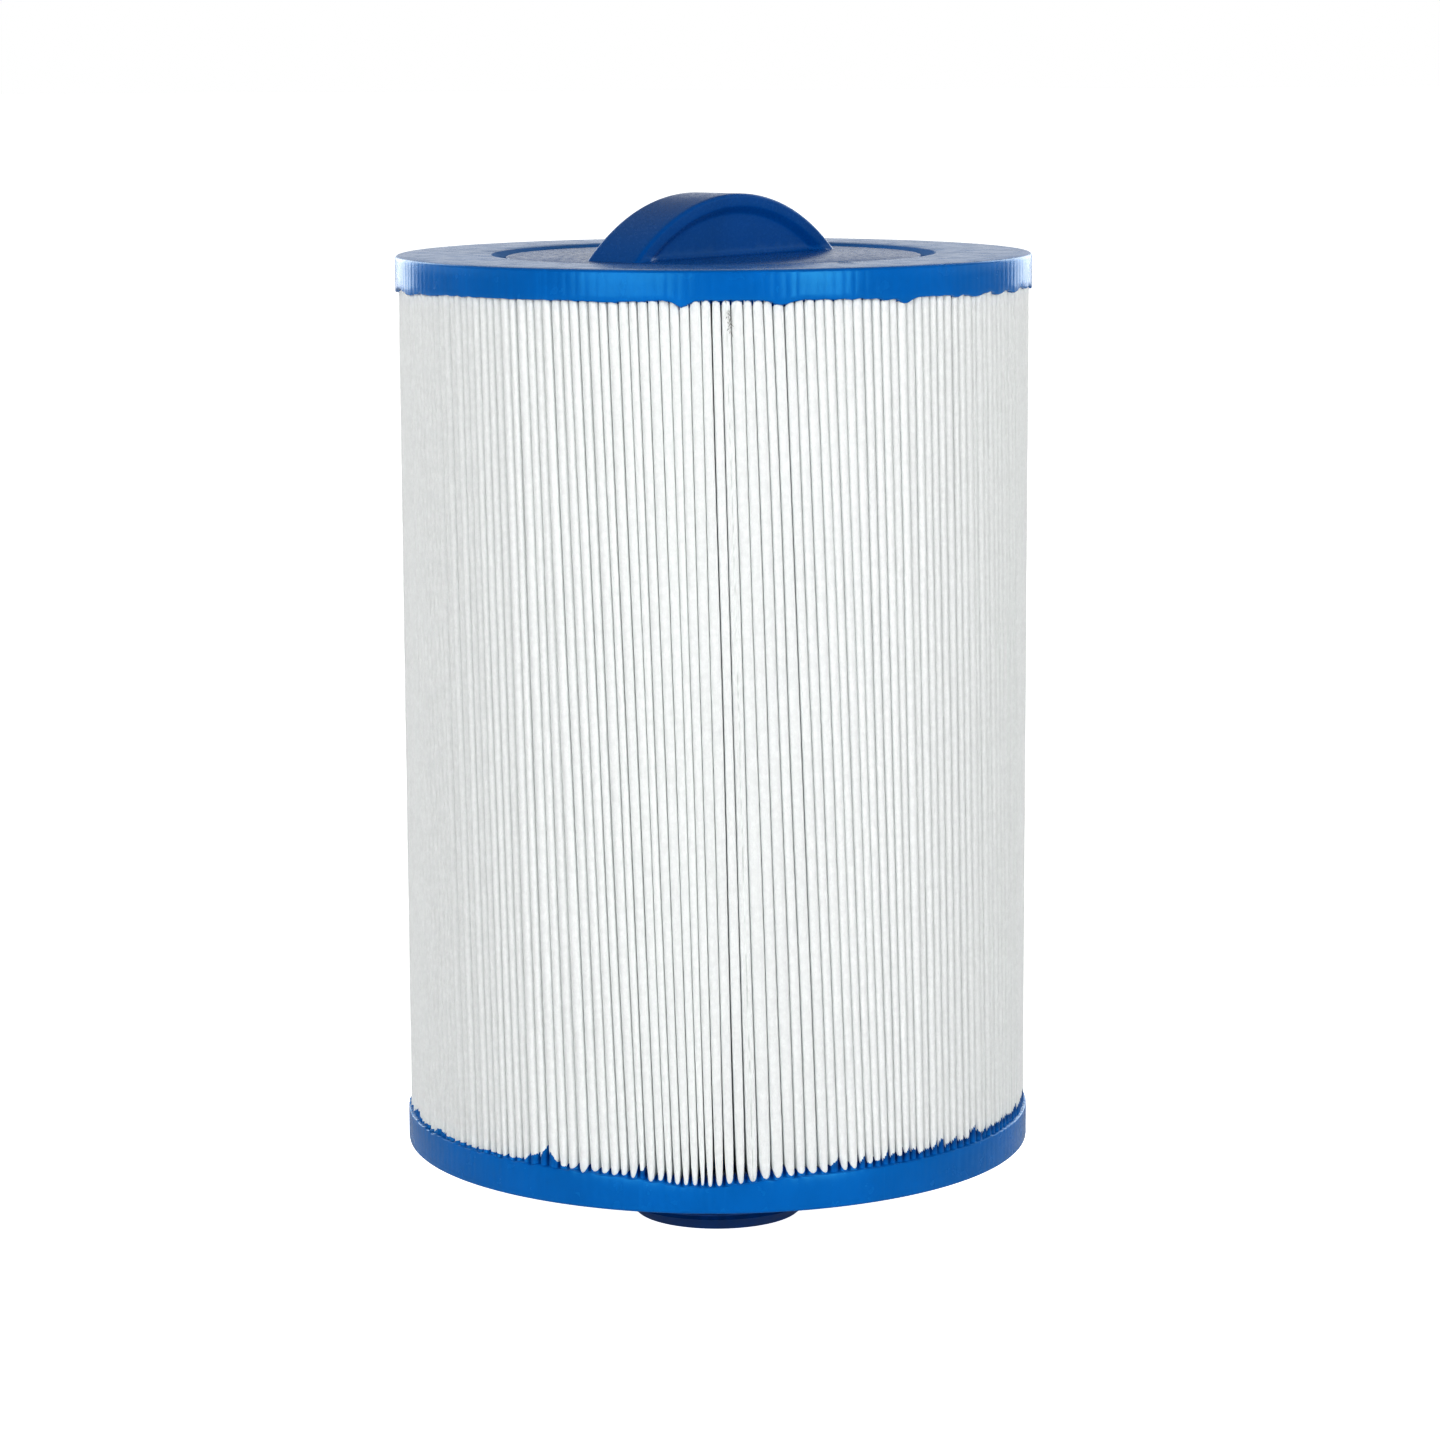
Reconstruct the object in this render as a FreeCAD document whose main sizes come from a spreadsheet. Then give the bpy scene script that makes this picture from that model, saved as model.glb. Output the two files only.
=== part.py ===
import FreeCAD, Part
import math
import os

import Sketcher

# Pleated spa filter cartridge: two cast end caps, a pleated fabric sheet round a perforated core,
# a handle moulding in the top cap and a threaded outlet in the bottom cap.
# Frame: millimetres, +Z up, the axis of the cartridge on Z, the outlet's end face on Z = 0.

SIZES = {
    # end caps
    "cap_diameter": 150.0,
    "cartridge_length": 213.0,  # over the two end caps
    "top_cap_height": 7.2,
    "bottom_cap_height": 9.0,
    "cap_edge_radius": 0.8,
    "potting_depth": 2.8,  # how far the media's ends stand in each cap
    # pleated media
    "media_inset": 0.6,  # from the caps' side in to the fold tips
    "core_gap": 0.5,  # from the core out to the inner folds
    "pleat_count": 200,
    "sheet_thickness": 0.38,
    "fold_gap": 0.377,  # open width between neighbouring folds, at their tips
    "seam_depth": 8.0,  # how far in from the fold tips the bead reaches
    "seam_inset": 0.3,  # the bead's and the sheet edges' distance from the media's outside
    # centre core
    "core_diameter": 58.0,
    "core_wall": 2.4,
    "core_window_width": 8.0,
    "core_window_height": 7.0,
    "core_window_pitch": 10.5,
    "core_window_pairs": 7,  # opposite pairs of window columns
    "core_blind_end": 12.0,  # unperforated length at each end
    # handle moulding
    "plate_diameter": 98.0,
    "plate_thickness": 2.5,
    "plate_recess": 0.5,  # the plate's top lies this far below the cap's
    "cap_bevel_width": 3.5,
    "plate_rim_width": 4.0,  # the hidden rim that the resin grips
    "plate_rim_height": 1.2,
    "handle_arc_radius": 56.0,
    "handle_height": 14.5,
    "handle_width": 15.0,
    "handle_lip": 2.9,
    "handle_step": 1.75,
    "handle_panel_depth": 1.2,
    "handle_wall": 2.6,
    "handle_edge_radius": 0.7,
    "handle_turn": 51.4,  # degrees from +X towards +Y
    # spigots that centre the core
    "spigot_length": 8.0,
    "spigot_wall": 3.0,
    "spigot_clearance": 0.15,
    # threaded outlet
    "outlet_length": 19.2,
    "outlet_bore": 37.0,
    "thread_diameter": 47.8,
    "thread_pitch": 2.309,
    "thread_depth": 1.35,
    "thread_neck": 2.4,  # plain length beside the cap, where the groove runs out
    "outlet_lead_in": 3.4,
    "outlet_end_diameter": 40.0,
    "flange_diameter": 76.0,
    "flange_height": 3.0,
}

doc = FreeCAD.newDocument("filter_cartridge")


def make_sheet():
    """The spreadsheet that holds every driving size under its own alias."""
    sheet = doc.addObject("Spreadsheet::Sheet", "sizes")
    for row, (alias, number) in enumerate(SIZES.items(), start=1):
        sheet.set(f"A{row}", alias)
        sheet.set(f"B{row}", str(number))
        sheet.setAlias(f"B{row}", alias)
    doc.recompute()
    return sheet


sizes = make_sheet()


def size(alias):
    """One size as a number, for shapes that are worked out by formula."""
    return float(sizes.get(alias))


# Levels and radii as expressions in the sheet's cells.
CAP_RADIUS = "(sizes.cap_diameter / 2)"
CORE_RADIUS = "(sizes.core_diameter / 2)"
PLATE_RADIUS = "(sizes.plate_diameter / 2)"
RIM_RADIUS = f"({PLATE_RADIUS} + sizes.plate_rim_width)"
FLANGE_RADIUS = "(sizes.flange_diameter / 2)"
SPIGOT_RADIUS = f"({CORE_RADIUS} - sizes.core_wall - sizes.spigot_clearance)"
SPIGOT_BORE_RADIUS = f"({SPIGOT_RADIUS} - sizes.spigot_wall)"
CAP_FOOT_Z = "sizes.outlet_length"
CAP_TOP_Z = f"({CAP_FOOT_Z} + sizes.cartridge_length)"
TOP_CAP_Z = f"({CAP_TOP_Z} - sizes.top_cap_height)"
PLATE_TOP_Z = f"({CAP_TOP_Z} - sizes.plate_recess)"
CORE_FOOT_Z = f"({CAP_FOOT_Z} + sizes.flange_height)"
CORE_LENGTH = f"({PLATE_TOP_Z} - sizes.plate_thickness - {CORE_FOOT_Z})"


def make_body(label, level):
    """A PartDesign body under its own label, raised to a level."""
    body = doc.addObject("PartDesign::Body", label)
    body.Label = label
    body.setExpression("Placement.Base.z", level)
    return body


def origin_feature(body, role):
    """One of the body's own origin planes or axes."""
    return next(f for f in body.Origin.OriginFeatures if f.Role == role)


def make_sketch(body, name, plane):
    """An empty sketch on one of the body's origin planes."""
    sketch = body.newObject("Sketcher::SketchObject", name)
    sketch.AttachmentSupport = [(origin_feature(body, plane), "")]
    sketch.MapMode = "FlatFace"
    return sketch


def bind(sketch, constraint, expression):
    """Adds a constraint and ties its value to the sheet."""
    index = sketch.addConstraint(constraint)
    sketch.setExpression(f"Constraints[{index}]", expression)


def add_outline(sketch, corners):
    """A closed outline of straight lines; each corner is a pair of expressions."""
    first = sketch.GeometryCount
    count = len(corners)
    spots = []
    for k in range(count):
        turn = 2 * math.pi * k / count
        spots.append(FreeCAD.Vector(100 + 10 * math.cos(turn), 10 * math.sin(turn), 0))
    for k in range(count):
        sketch.addGeometry(Part.LineSegment(spots[k], spots[(k + 1) % count]))
    for k in range(count):
        following = first + (k + 1) % count
        sketch.addConstraint(Sketcher.Constraint("Coincident", first + k, 2, following, 1))
    for k, (across, up) in enumerate(corners):
        bind(sketch, Sketcher.Constraint("DistanceX", -1, 1, first + k, 1, spots[k].x), across)
        bind(sketch, Sketcher.Constraint("DistanceY", -1, 1, first + k, 1, spots[k].y), up)


def revolve(body, name, corners):
    """A solid of revolution about the cartridge's axis."""
    sketch = make_sketch(body, name + "_outline", "XZ_Plane")
    add_outline(sketch, corners)
    solid = body.newObject("PartDesign::Revolution", name)
    solid.Profile = sketch
    solid.ReferenceAxis = (sketch, ["V_Axis"])
    solid.Angle = 360
    doc.recompute()
    return solid


def edges_where(feature, test):
    """Names of the feature's edges that pass a test."""
    names = []
    for index, edge in enumerate(feature.Shape.Edges, start=1):
        if test(edge):
            names.append(f"Edge{index}")
    return names


def is_circle(edge, radius):
    """Whether an edge is an arc or circle of that radius."""
    return edge.Curve.TypeId == "Part::GeomCircle" and abs(edge.Curve.Radius - radius) < 1e-3


def add_fillet(body, name, feature, test, radius_expression):
    """Rounds the edges of a feature that pass a test."""
    rounded = body.newObject("PartDesign::Fillet", name)
    rounded.Base = (feature, edges_where(feature, test))
    rounded.setExpression("Radius", radius_expression)
    doc.recompute()
    return rounded


# ---------------------------------------------------------------- pleated media


def turned(point, angle):
    """A point turned about the axis."""
    c, s = math.cos(angle), math.sin(angle)
    return FreeCAD.Vector(point.x * c - point.y * s, point.x * s + point.y * c, point.z)


def mirrored(point, angle):
    """A point mirrored in the radial line at that angle."""
    flat = turned(point, -angle)
    return turned(FreeCAD.Vector(flat.x, -flat.y, flat.z), angle)


def media_radius():
    """The radius over the fold tips, which follows the caps."""
    return size("cap_diameter") / 2 - size("media_inset")


def bore_radius():
    """The radius inside the inner folds, which follows the core."""
    return size("core_diameter") / 2 + size("core_gap")


class Pleat:
    """The plan of one pleat, on the +X radial line.

    The sheet's middle line is an arc at the outer fold, a straight wall, and an arc at the inner
    fold half a pitch further round. The wall is the crossed tangent of the two arcs.
    """

    def __init__(self):
        self.count = int(size("pleat_count"))
        self.pitch = 2 * math.pi / self.count
        self.half = self.pitch / 2
        self.thickness = size("sheet_thickness")
        fold_width = self.pitch * media_radius() - size("fold_gap")
        self.outer_fold = (fold_width - self.thickness) / 2
        self.inner_fold = math.pi * bore_radius() / self.count / 2
        reach = media_radius() - self.outer_fold - self.thickness / 2
        depth = bore_radius() + self.inner_fold + self.thickness / 2
        self.outer_centre = FreeCAD.Vector(reach, 0, 0)
        self.inner_centre = turned(FreeCAD.Vector(depth, 0, 0), self.half)
        between = self.inner_centre - self.outer_centre
        along = between / between.Length
        lean = (self.outer_fold + self.inner_fold) / between.Length
        side = FreeCAD.Vector(along.y, -along.x, 0)
        self.normal = along * lean + side * math.sqrt(1 - lean * lean)

    def wall(self, offset):
        """The two ends of the wall's surface, at an offset from the sheet's middle."""
        outer = self.outer_centre + self.normal * (self.outer_fold + offset)
        inner = self.inner_centre - self.normal * (self.inner_fold - offset)
        return outer, inner

    def outer_arc(self, offset):
        """Three points of the outer fold's arc."""
        end = self.wall(offset)[0]
        middle = self.outer_centre + FreeCAD.Vector(self.outer_fold + offset, 0, 0)
        return mirrored(end, 0), middle, end

    def inner_arc(self, offset):
        """Three points of the inner fold's arc."""
        start = self.wall(offset)[1]
        inward = turned(FreeCAD.Vector(-1, 0, 0), self.half)
        middle = self.inner_centre + inward * (self.inner_fold - offset)
        return start, middle, mirrored(start, self.half)

    def wall_at(self, offset, radius):
        """The point of the wall's surface, or of its straight run on outwards, at a radius."""
        outer, inner = self.wall(offset)
        run = outer - inner
        a = run.dot(run)
        b = 2 * inner.dot(run)
        c = inner.dot(inner) - radius * radius
        share = (math.sqrt(b * b - 4 * a * c) - b) / (2 * a)
        return inner + run * share


def sheet_side(pleat, offset, edge_radius):
    """One surface of the pleated sheet, as edges from one end of the sheet to the other.

    The sheet's two ends are the walls of the pleat on the seam, which has no outer fold.
    """
    edges = []
    here = pleat.wall_at(offset, edge_radius)
    for index in range(pleat.count):
        angle = index * pleat.pitch
        inner = [turned(p, angle) for p in pleat.inner_arc(offset)]
        edges.append(Part.makeLine(here, inner[0]))
        edges.append(Part.Arc(*inner).toShape())
        if index == pleat.count - 1:
            last = mirrored(pleat.wall_at(offset, edge_radius), 0)
            edges.append(Part.makeLine(inner[2], last))
        else:
            outer = [turned(p, angle + pleat.pitch) for p in pleat.outer_arc(offset)]
            edges.append(Part.makeLine(inner[2], outer[0]))
            edges.append(Part.Arc(*outer).toShape())
            here = outer[2]
    return edges


def make_media(pleat):
    """The whole sheet, pleated and closed into a ring, with its ends standing in the caps."""
    half = pleat.thickness / 2
    edge_radius = media_radius() - size("seam_inset")
    outside = sheet_side(pleat, half, edge_radius)
    inside = sheet_side(pleat, -half, edge_radius)
    ends = []
    for back in (False, True):
        pair = [pleat.wall_at(offset, edge_radius) for offset in (half, -half)]
        if back:
            pair = [mirrored(p, 0) for p in pair]
        ends.append(Part.makeLine(*pair))
    outline = Part.Wire(outside + [ends[1]] + inside[::-1] + [ends[0]])
    foot = size("outlet_length") + size("bottom_cap_height") - size("potting_depth")
    top = size("outlet_length") + size("cartridge_length") - size("top_cap_height")
    height = top + size("potting_depth") - foot
    media = doc.addObject("Part::Feature", "pleated_media")
    media.Label = "pleated_media"
    media.Shape = Part.Face(outline).extrude(FreeCAD.Vector(0, 0, height))
    media.Placement = FreeCAD.Placement(seam_turn(FreeCAD.Vector(0, 0, foot)))
    return media


def seam_turn(base):
    """The place and turn that put the seam at the cartridge's front, on -Y."""
    turn = FreeCAD.Rotation(FreeCAD.Vector(0, 0, 1), -90)
    return FreeCAD.Placement(base, turn)


def make_seam(pleat):
    """The hot-melt bead that closes the sheet's two ends, from cap to cap."""
    half = pleat.thickness / 2
    tip_radius = media_radius() - size("seam_inset")
    near = pleat.wall_at(-half, tip_radius)
    far = pleat.wall_at(-half, tip_radius - size("seam_depth"))
    corners = [near, far, mirrored(far, 0), mirrored(near, 0), near]
    foot = size("outlet_length") + size("bottom_cap_height")
    top = size("outlet_length") + size("cartridge_length") - size("top_cap_height")
    bead = doc.addObject("Part::Feature", "seam_bead")
    bead.Label = "seam_bead"
    bead.Shape = Part.Face(Part.makePolygon(corners)).extrude(FreeCAD.Vector(0, 0, top - foot))
    bead.Placement = seam_turn(FreeCAD.Vector(0, 0, foot))
    return bead


# ---------------------------------------------------------------- cast end caps


def cast_round(label, blank, media):
    """A cap with the media's folds cast into it."""
    cap = doc.addObject("Part::Cut", label)
    cap.Label = label
    cap.Base = blank
    cap.Tool = media
    doc.recompute()
    return cap


def make_top_cap(media):
    """The top cap: a cast ring that holds the media, the core and the handle moulding."""
    body = make_body("top_cap_blank", TOP_CAP_Z)
    top = "sizes.top_cap_height"
    plate = f"({top} - sizes.plate_recess)"
    rim = f"({plate} - sizes.plate_thickness + sizes.plate_rim_height)"
    below = f"({plate} - sizes.plate_thickness)"
    ring = revolve(
        body,
        "top_cap_ring",
        [
            (CORE_RADIUS, "0"),
            (CAP_RADIUS, "0"),
            (CAP_RADIUS, top),
            (f"{PLATE_RADIUS} + sizes.cap_bevel_width", top),
            (PLATE_RADIUS, plate),
            (PLATE_RADIUS, rim),
            (RIM_RADIUS, rim),
            (RIM_RADIUS, below),
            (CORE_RADIUS, below),
        ],
    )
    radius = size("cap_diameter") / 2
    height = size("top_cap_height")
    add_fillet(
        body,
        "top_cap_edge",
        ring,
        lambda edge: is_circle(edge, radius) and abs(edge.Curve.Center.z - height) < 1e-3,
        "sizes.cap_edge_radius",
    )
    return cast_round("top_end_cap", body, media)


def make_bottom_cap(media):
    """The bottom cap: a cast ring that holds the media, the core and the outlet's flange."""
    body = make_body("bottom_cap_blank", CAP_FOOT_Z)
    top = "sizes.bottom_cap_height"
    flange = "sizes.flange_height"
    ring = revolve(
        body,
        "bottom_cap_ring",
        [
            (FLANGE_RADIUS, "0"),
            (CAP_RADIUS, "0"),
            (CAP_RADIUS, top),
            (CORE_RADIUS, top),
            (CORE_RADIUS, flange),
            (FLANGE_RADIUS, flange),
        ],
    )
    radius = size("cap_diameter") / 2
    add_fillet(
        body,
        "bottom_cap_edge",
        ring,
        lambda edge: is_circle(edge, radius) and abs(edge.Curve.Center.z) < 1e-3,
        "sizes.cap_edge_radius",
    )
    return cast_round("bottom_end_cap", body, media)


# ---------------------------------------------------------------- handle moulding


def add_segment(sketch, radius_expression, side=0.0):
    """A half-moon: an arc about the handle's centre, closed by its chord on the plate."""
    radius = size("handle_arc_radius")
    drop = radius - size("handle_height")
    spread = math.acos(drop / radius)
    circle = Part.Circle(FreeCAD.Vector(0, -drop, 0), FreeCAD.Vector(0, 0, 1), radius)
    arc = Part.ArcOfCircle(circle, math.pi / 2 - spread, math.pi / 2 + spread)
    half_chord = radius * math.sin(spread)
    left = FreeCAD.Vector(-half_chord, 0, 0)
    right = FreeCAD.Vector(half_chord, 0, 0)
    sketch.addGeometry(arc)
    sketch.addGeometry(Part.LineSegment(left, right))
    sketch.addConstraint(Sketcher.Constraint("Coincident", 0, 2, 1, 1))
    sketch.addConstraint(Sketcher.Constraint("Coincident", 0, 1, 1, 2))
    sketch.addConstraint(Sketcher.Constraint("PointOnObject", 1, 1, -1))
    sketch.addConstraint(Sketcher.Constraint("PointOnObject", 1, 2, -1))
    sketch.addConstraint(Sketcher.Constraint("PointOnObject", 0, 3, -2))
    centre = "sizes.handle_arc_radius - sizes.handle_height"
    bind(sketch, Sketcher.Constraint("DistanceY", 0, 3, -1, 1, drop), centre)
    bind(sketch, Sketcher.Constraint("Radius", 0, radius), radius_expression)


def make_handle():
    """The handle moulding: a round plate with a half-moon grip on top and a spigot below."""
    body = make_body("handle_insert", PLATE_TOP_Z)
    body.setExpression("Placement.Rotation.Yaw", "sizes.handle_turn")
    under = "-sizes.plate_thickness"
    rim = f"({under} + sizes.plate_rim_height)"
    foot = f"({under} - sizes.spigot_length)"
    revolve(
        body,
        "plate_and_spigot",
        [
            ("0", "0"),
            (PLATE_RADIUS, "0"),
            (PLATE_RADIUS, rim),
            (RIM_RADIUS, rim),
            (RIM_RADIUS, under),
            (SPIGOT_RADIUS, under),
            (SPIGOT_RADIUS, foot),
            (SPIGOT_BORE_RADIUS, foot),
            (SPIGOT_BORE_RADIUS, under),
            ("0", under),
        ],
    )
    grip_outline = make_sketch(body, "grip_outline", "XZ_Plane")
    add_segment(grip_outline, "sizes.handle_arc_radius")
    grip = body.newObject("PartDesign::Pad", "grip")
    grip.Profile = grip_outline
    grip.SideType = "Symmetric"
    grip.setExpression("Length", "sizes.handle_width")
    doc.recompute()
    add_side_panels(body)
    add_coring(body)
    arc_radius = size("handle_arc_radius")
    add_fillet(
        body,
        "grip_edges",
        body.Tip,
        lambda edge: is_circle(edge, arc_radius),
        "sizes.handle_edge_radius",
    )
    return body


def add_side_panels(body):
    """The shallow half-moon recess in each side of the grip, with a sloping step round it."""
    levels = (
        ("panel_mouth", "sizes.handle_width / 2", "sizes.handle_arc_radius - sizes.handle_lip"),
        (
            "panel_floor",
            "sizes.handle_width / 2 - sizes.handle_panel_depth",
            "sizes.handle_arc_radius - sizes.handle_lip - sizes.handle_step",
        ),
    )
    sketches = []
    for name, away, radius in levels:
        sketch = make_sketch(body, name, "XZ_Plane")
        sketch.setExpression("AttachmentOffset.Base.z", away)
        add_segment(sketch, radius)
        sketches.append(sketch)
    doc.recompute()
    before = body.Shape.Volume
    panel = body.newObject("PartDesign::SubtractiveLoft", "side_panel")
    panel.Profile = sketches[0]
    panel.Sections = [sketches[1]]
    panel.Ruled = True
    doc.recompute()
    both = body.newObject("PartDesign::Mirrored", "both_panels")
    both.Originals = [panel]
    both.MirrorPlane = (origin_feature(body, "XZ_Plane"), [""])
    body.Tip = both
    doc.recompute()
    if body.Shape.Volume >= before:
        raise RuntimeError("the side panels cut nothing")


def add_coring(body):
    """The hollow under the grip, which keeps the moulding's walls even."""
    radius = "(sizes.handle_arc_radius - sizes.handle_wall)"
    drop = "(sizes.handle_arc_radius - sizes.handle_height)"
    reach = f"({SPIGOT_BORE_RADIUS} - sizes.handle_wall)"
    under = "-sizes.plate_thickness"
    shoulder = f"(sqrt({radius}^2 - {reach}^2) - {drop})"
    sketch = make_sketch(body, "coring_outline", "XZ_Plane")
    top_radius = size("handle_arc_radius") - size("handle_wall")
    top_centre = FreeCAD.Vector(0, size("handle_height") - size("handle_arc_radius"), 0)
    circle = Part.Circle(top_centre, FreeCAD.Vector(0, 0, 1), top_radius)
    half_angle = math.asin(20 / top_radius)
    arc = Part.ArcOfCircle(circle, math.pi / 2 - half_angle, math.pi / 2 + half_angle)
    sketch.addGeometry(arc)
    right_top = arc.StartPoint
    left_top = arc.EndPoint
    left_foot = FreeCAD.Vector(left_top.x, -size("plate_thickness"), 0)
    right_foot = FreeCAD.Vector(right_top.x, -size("plate_thickness"), 0)
    for start, end in ((left_top, left_foot), (left_foot, right_foot), (right_foot, right_top)):
        sketch.addGeometry(Part.LineSegment(start, end))
    for joined in ((0, 2, 1, 1), (1, 2, 2, 1), (2, 2, 3, 1), (3, 2, 0, 1)):
        sketch.addConstraint(Sketcher.Constraint("Coincident", *joined))
    sketch.addConstraint(Sketcher.Constraint("PointOnObject", 0, 3, -2))
    bind(sketch, Sketcher.Constraint("DistanceY", 0, 3, -1, 1, -top_centre.y), drop)
    for point, across, up in ((1, f"-{reach}", under), (2, reach, under)):
        spot = (2, point)
        bind(sketch, Sketcher.Constraint("DistanceX", -1, 1, *spot, 20.0), across)
        bind(sketch, Sketcher.Constraint("DistanceY", -1, 1, *spot, -2.0), up)
    bind(sketch, Sketcher.Constraint("DistanceX", -1, 1, 0, 1, right_top.x), reach)
    bind(sketch, Sketcher.Constraint("DistanceY", -1, 1, 0, 1, right_top.y), shoulder)
    bind(sketch, Sketcher.Constraint("DistanceX", -1, 1, 0, 2, left_top.x), f"-{reach}")
    before = body.Shape.Volume
    coring = body.newObject("PartDesign::Pocket", "coring")
    coring.Profile = sketch
    coring.SideType = "Symmetric"
    width = "sizes.handle_width - 2 * (sizes.handle_panel_depth + sizes.handle_wall)"
    coring.setExpression("Length", width)
    doc.recompute()
    if body.Shape.Volume >= before:
        raise RuntimeError("the coring cut nothing")


# ---------------------------------------------------------------- centre core


def make_core():
    """The perforated tube that holds the folds open and leads the clean water down."""
    body = make_body("centre_core", CORE_FOOT_Z)
    bore = f"({CORE_RADIUS} - sizes.core_wall)"
    revolve(
        body,
        "core_tube",
        [(bore, "0"), (CORE_RADIUS, "0"), (CORE_RADIUS, CORE_LENGTH), (bore, CORE_LENGTH)],
    )
    before = body.Shape.Volume
    length = body.Shape.BoundBox.ZLength
    free = length - 2 * size("core_blind_end") - size("core_window_height")
    rows = int(free / size("core_window_pitch")) + 1
    used = f"({rows - 1} * sizes.core_window_pitch)"
    first = f"({CORE_LENGTH} - {used} - sizes.core_window_height) / 2"
    half = "sizes.core_window_width / 2"
    sketch = make_sketch(body, "window_column", "XZ_Plane")
    for row in range(rows):
        low = f"({first} + {row} * sizes.core_window_pitch)"
        high = f"({low} + sizes.core_window_height)"
        add_outline(sketch, [(f"-{half}", low), (half, low), (half, high), (f"-{half}", high)])
    column = body.newObject("PartDesign::Pocket", "windows")
    column.Profile = sketch
    column.SideType = "Symmetric"
    column.setExpression("Length", "sizes.core_diameter")
    doc.recompute()
    around = body.newObject("PartDesign::PolarPattern", "windows_around")
    around.Originals = [column]
    around.Axis = (origin_feature(body, "Z_Axis"), [""])
    around.Mode = "Spacing"
    around.setExpression("Offset", "180 / sizes.core_window_pairs")
    around.setExpression("Occurrences", "sizes.core_window_pairs")
    body.Tip = around
    doc.recompute()
    if body.Shape.Volume >= before:
        raise RuntimeError("the windows cut nothing")
    return body


# ---------------------------------------------------------------- threaded outlet


def make_outlet():
    """The outlet moulding: a threaded nipple, a flange in the cap and a spigot in the core."""
    body = make_body("threaded_outlet", CAP_FOOT_Z)
    bore = "(sizes.outlet_bore / 2)"
    crest = "(sizes.thread_diameter / 2)"
    neck = f"({crest} - sizes.thread_depth)"
    end = "-sizes.outlet_length"
    top = "(sizes.flange_height + sizes.spigot_length)"
    revolve(
        body,
        "outlet_tube",
        [
            (bore, end),
            ("sizes.outlet_end_diameter / 2", end),
            (crest, f"({end} + sizes.outlet_lead_in)"),
            (crest, "-sizes.thread_neck"),
            (neck, "-sizes.thread_neck"),
            (neck, "0"),
            (FLANGE_RADIUS, "0"),
            (FLANGE_RADIUS, "sizes.flange_height"),
            (SPIGOT_RADIUS, "sizes.flange_height"),
            (SPIGOT_RADIUS, top),
            (SPIGOT_BORE_RADIUS, top),
            (SPIGOT_BORE_RADIUS, "sizes.flange_height"),
            (bore, "sizes.flange_height"),
        ],
    )
    cut_thread(body)
    return body


def cut_thread(body):
    """The helical groove between the threads, from below the end face up into the neck."""
    before = body.Shape.Volume
    half_mouth = "(0.44 * sizes.thread_pitch)"
    half_root = "(0.07 * sizes.thread_pitch)"
    root = "(sizes.thread_diameter / 2 - sizes.thread_depth)"
    over = "(sizes.thread_diameter / 2 + 0.3)"
    start = "(-sizes.outlet_length - sizes.thread_pitch)"
    sketch = make_sketch(body, "thread_groove_outline", "XZ_Plane")
    add_outline(
        sketch,
        [
            (root, f"({start} - {half_root})"),
            (over, f"({start} - {half_mouth})"),
            (over, f"({start} + {half_mouth})"),
            (root, f"({start} + {half_root})"),
        ],
    )
    groove = body.newObject("PartDesign::SubtractiveHelix", "thread_groove")
    groove.Profile = sketch
    groove.ReferenceAxis = (sketch, ["V_Axis"])
    groove.Mode = "pitch-height-angle"
    groove.setExpression("Pitch", "sizes.thread_pitch")
    groove.setExpression("Height", "sizes.outlet_length + sizes.thread_pitch / 2")
    doc.recompute()
    if body.Shape.Volume >= before:
        raise RuntimeError("the thread cut nothing")


# ---------------------------------------------------------------- build and write


def check_document():
    """Stops the build on any object that failed to recompute."""
    for item in doc.Objects:
        bad = [state for state in item.State if state in ("Invalid", "Error")]
        if bad:
            raise RuntimeError(f"{item.Label} is {bad[0]}")


def write(pieces):
    """Writes one STEP file per piece, once every piece is sound."""
    doc.recompute()
    check_document()
    for piece in pieces:
        if piece.Shape.isNull() or not piece.Shape.isValid():
            raise RuntimeError(f"{piece.Label} has no valid shape")
    os.makedirs("parts", exist_ok=True)
    for piece in pieces:
        piece.Shape.exportStep(os.path.join("parts", piece.Label + ".step"))
        box = piece.Shape.BoundBox
        solids = len(piece.Shape.Solids)
        print(f"{piece.Label}: {solids} solid, z {box.ZMin:.2f} to {box.ZMax:.2f} mm")


def main():
    """Builds the seven pieces of the cartridge."""
    pleat = Pleat()
    media = make_media(pleat)
    write(
        [
            make_top_cap(media),
            make_handle(),
            media,
            make_seam(pleat),
            make_core(),
            make_bottom_cap(media),
            make_outlet(),
        ]
    )


main()
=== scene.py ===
import math
import random

import bmesh
import bpy
from bpy.props import FloatProperty, FloatVectorProperty, IntProperty, PointerProperty
from mathutils import Matrix, Vector, noise


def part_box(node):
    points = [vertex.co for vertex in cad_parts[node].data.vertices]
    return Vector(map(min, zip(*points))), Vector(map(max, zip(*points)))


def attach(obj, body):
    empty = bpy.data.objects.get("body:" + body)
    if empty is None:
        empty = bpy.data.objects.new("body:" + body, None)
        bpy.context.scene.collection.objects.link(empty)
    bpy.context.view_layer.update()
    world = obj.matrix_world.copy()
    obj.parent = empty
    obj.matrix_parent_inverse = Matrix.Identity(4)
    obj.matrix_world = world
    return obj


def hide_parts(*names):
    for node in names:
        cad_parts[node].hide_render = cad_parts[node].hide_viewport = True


bl_info = {
    "name": "Pleated Spa Filter Cartridge",
    "version": (1, 0, 0),
    "blender": (4, 5, 0),
    "location": "View3D > Sidebar > Cartridge",
    "description": "Builds the visual pieces of a pleated spa filter cartridge round its CAD frame",
    "category": "Object",
}

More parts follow.
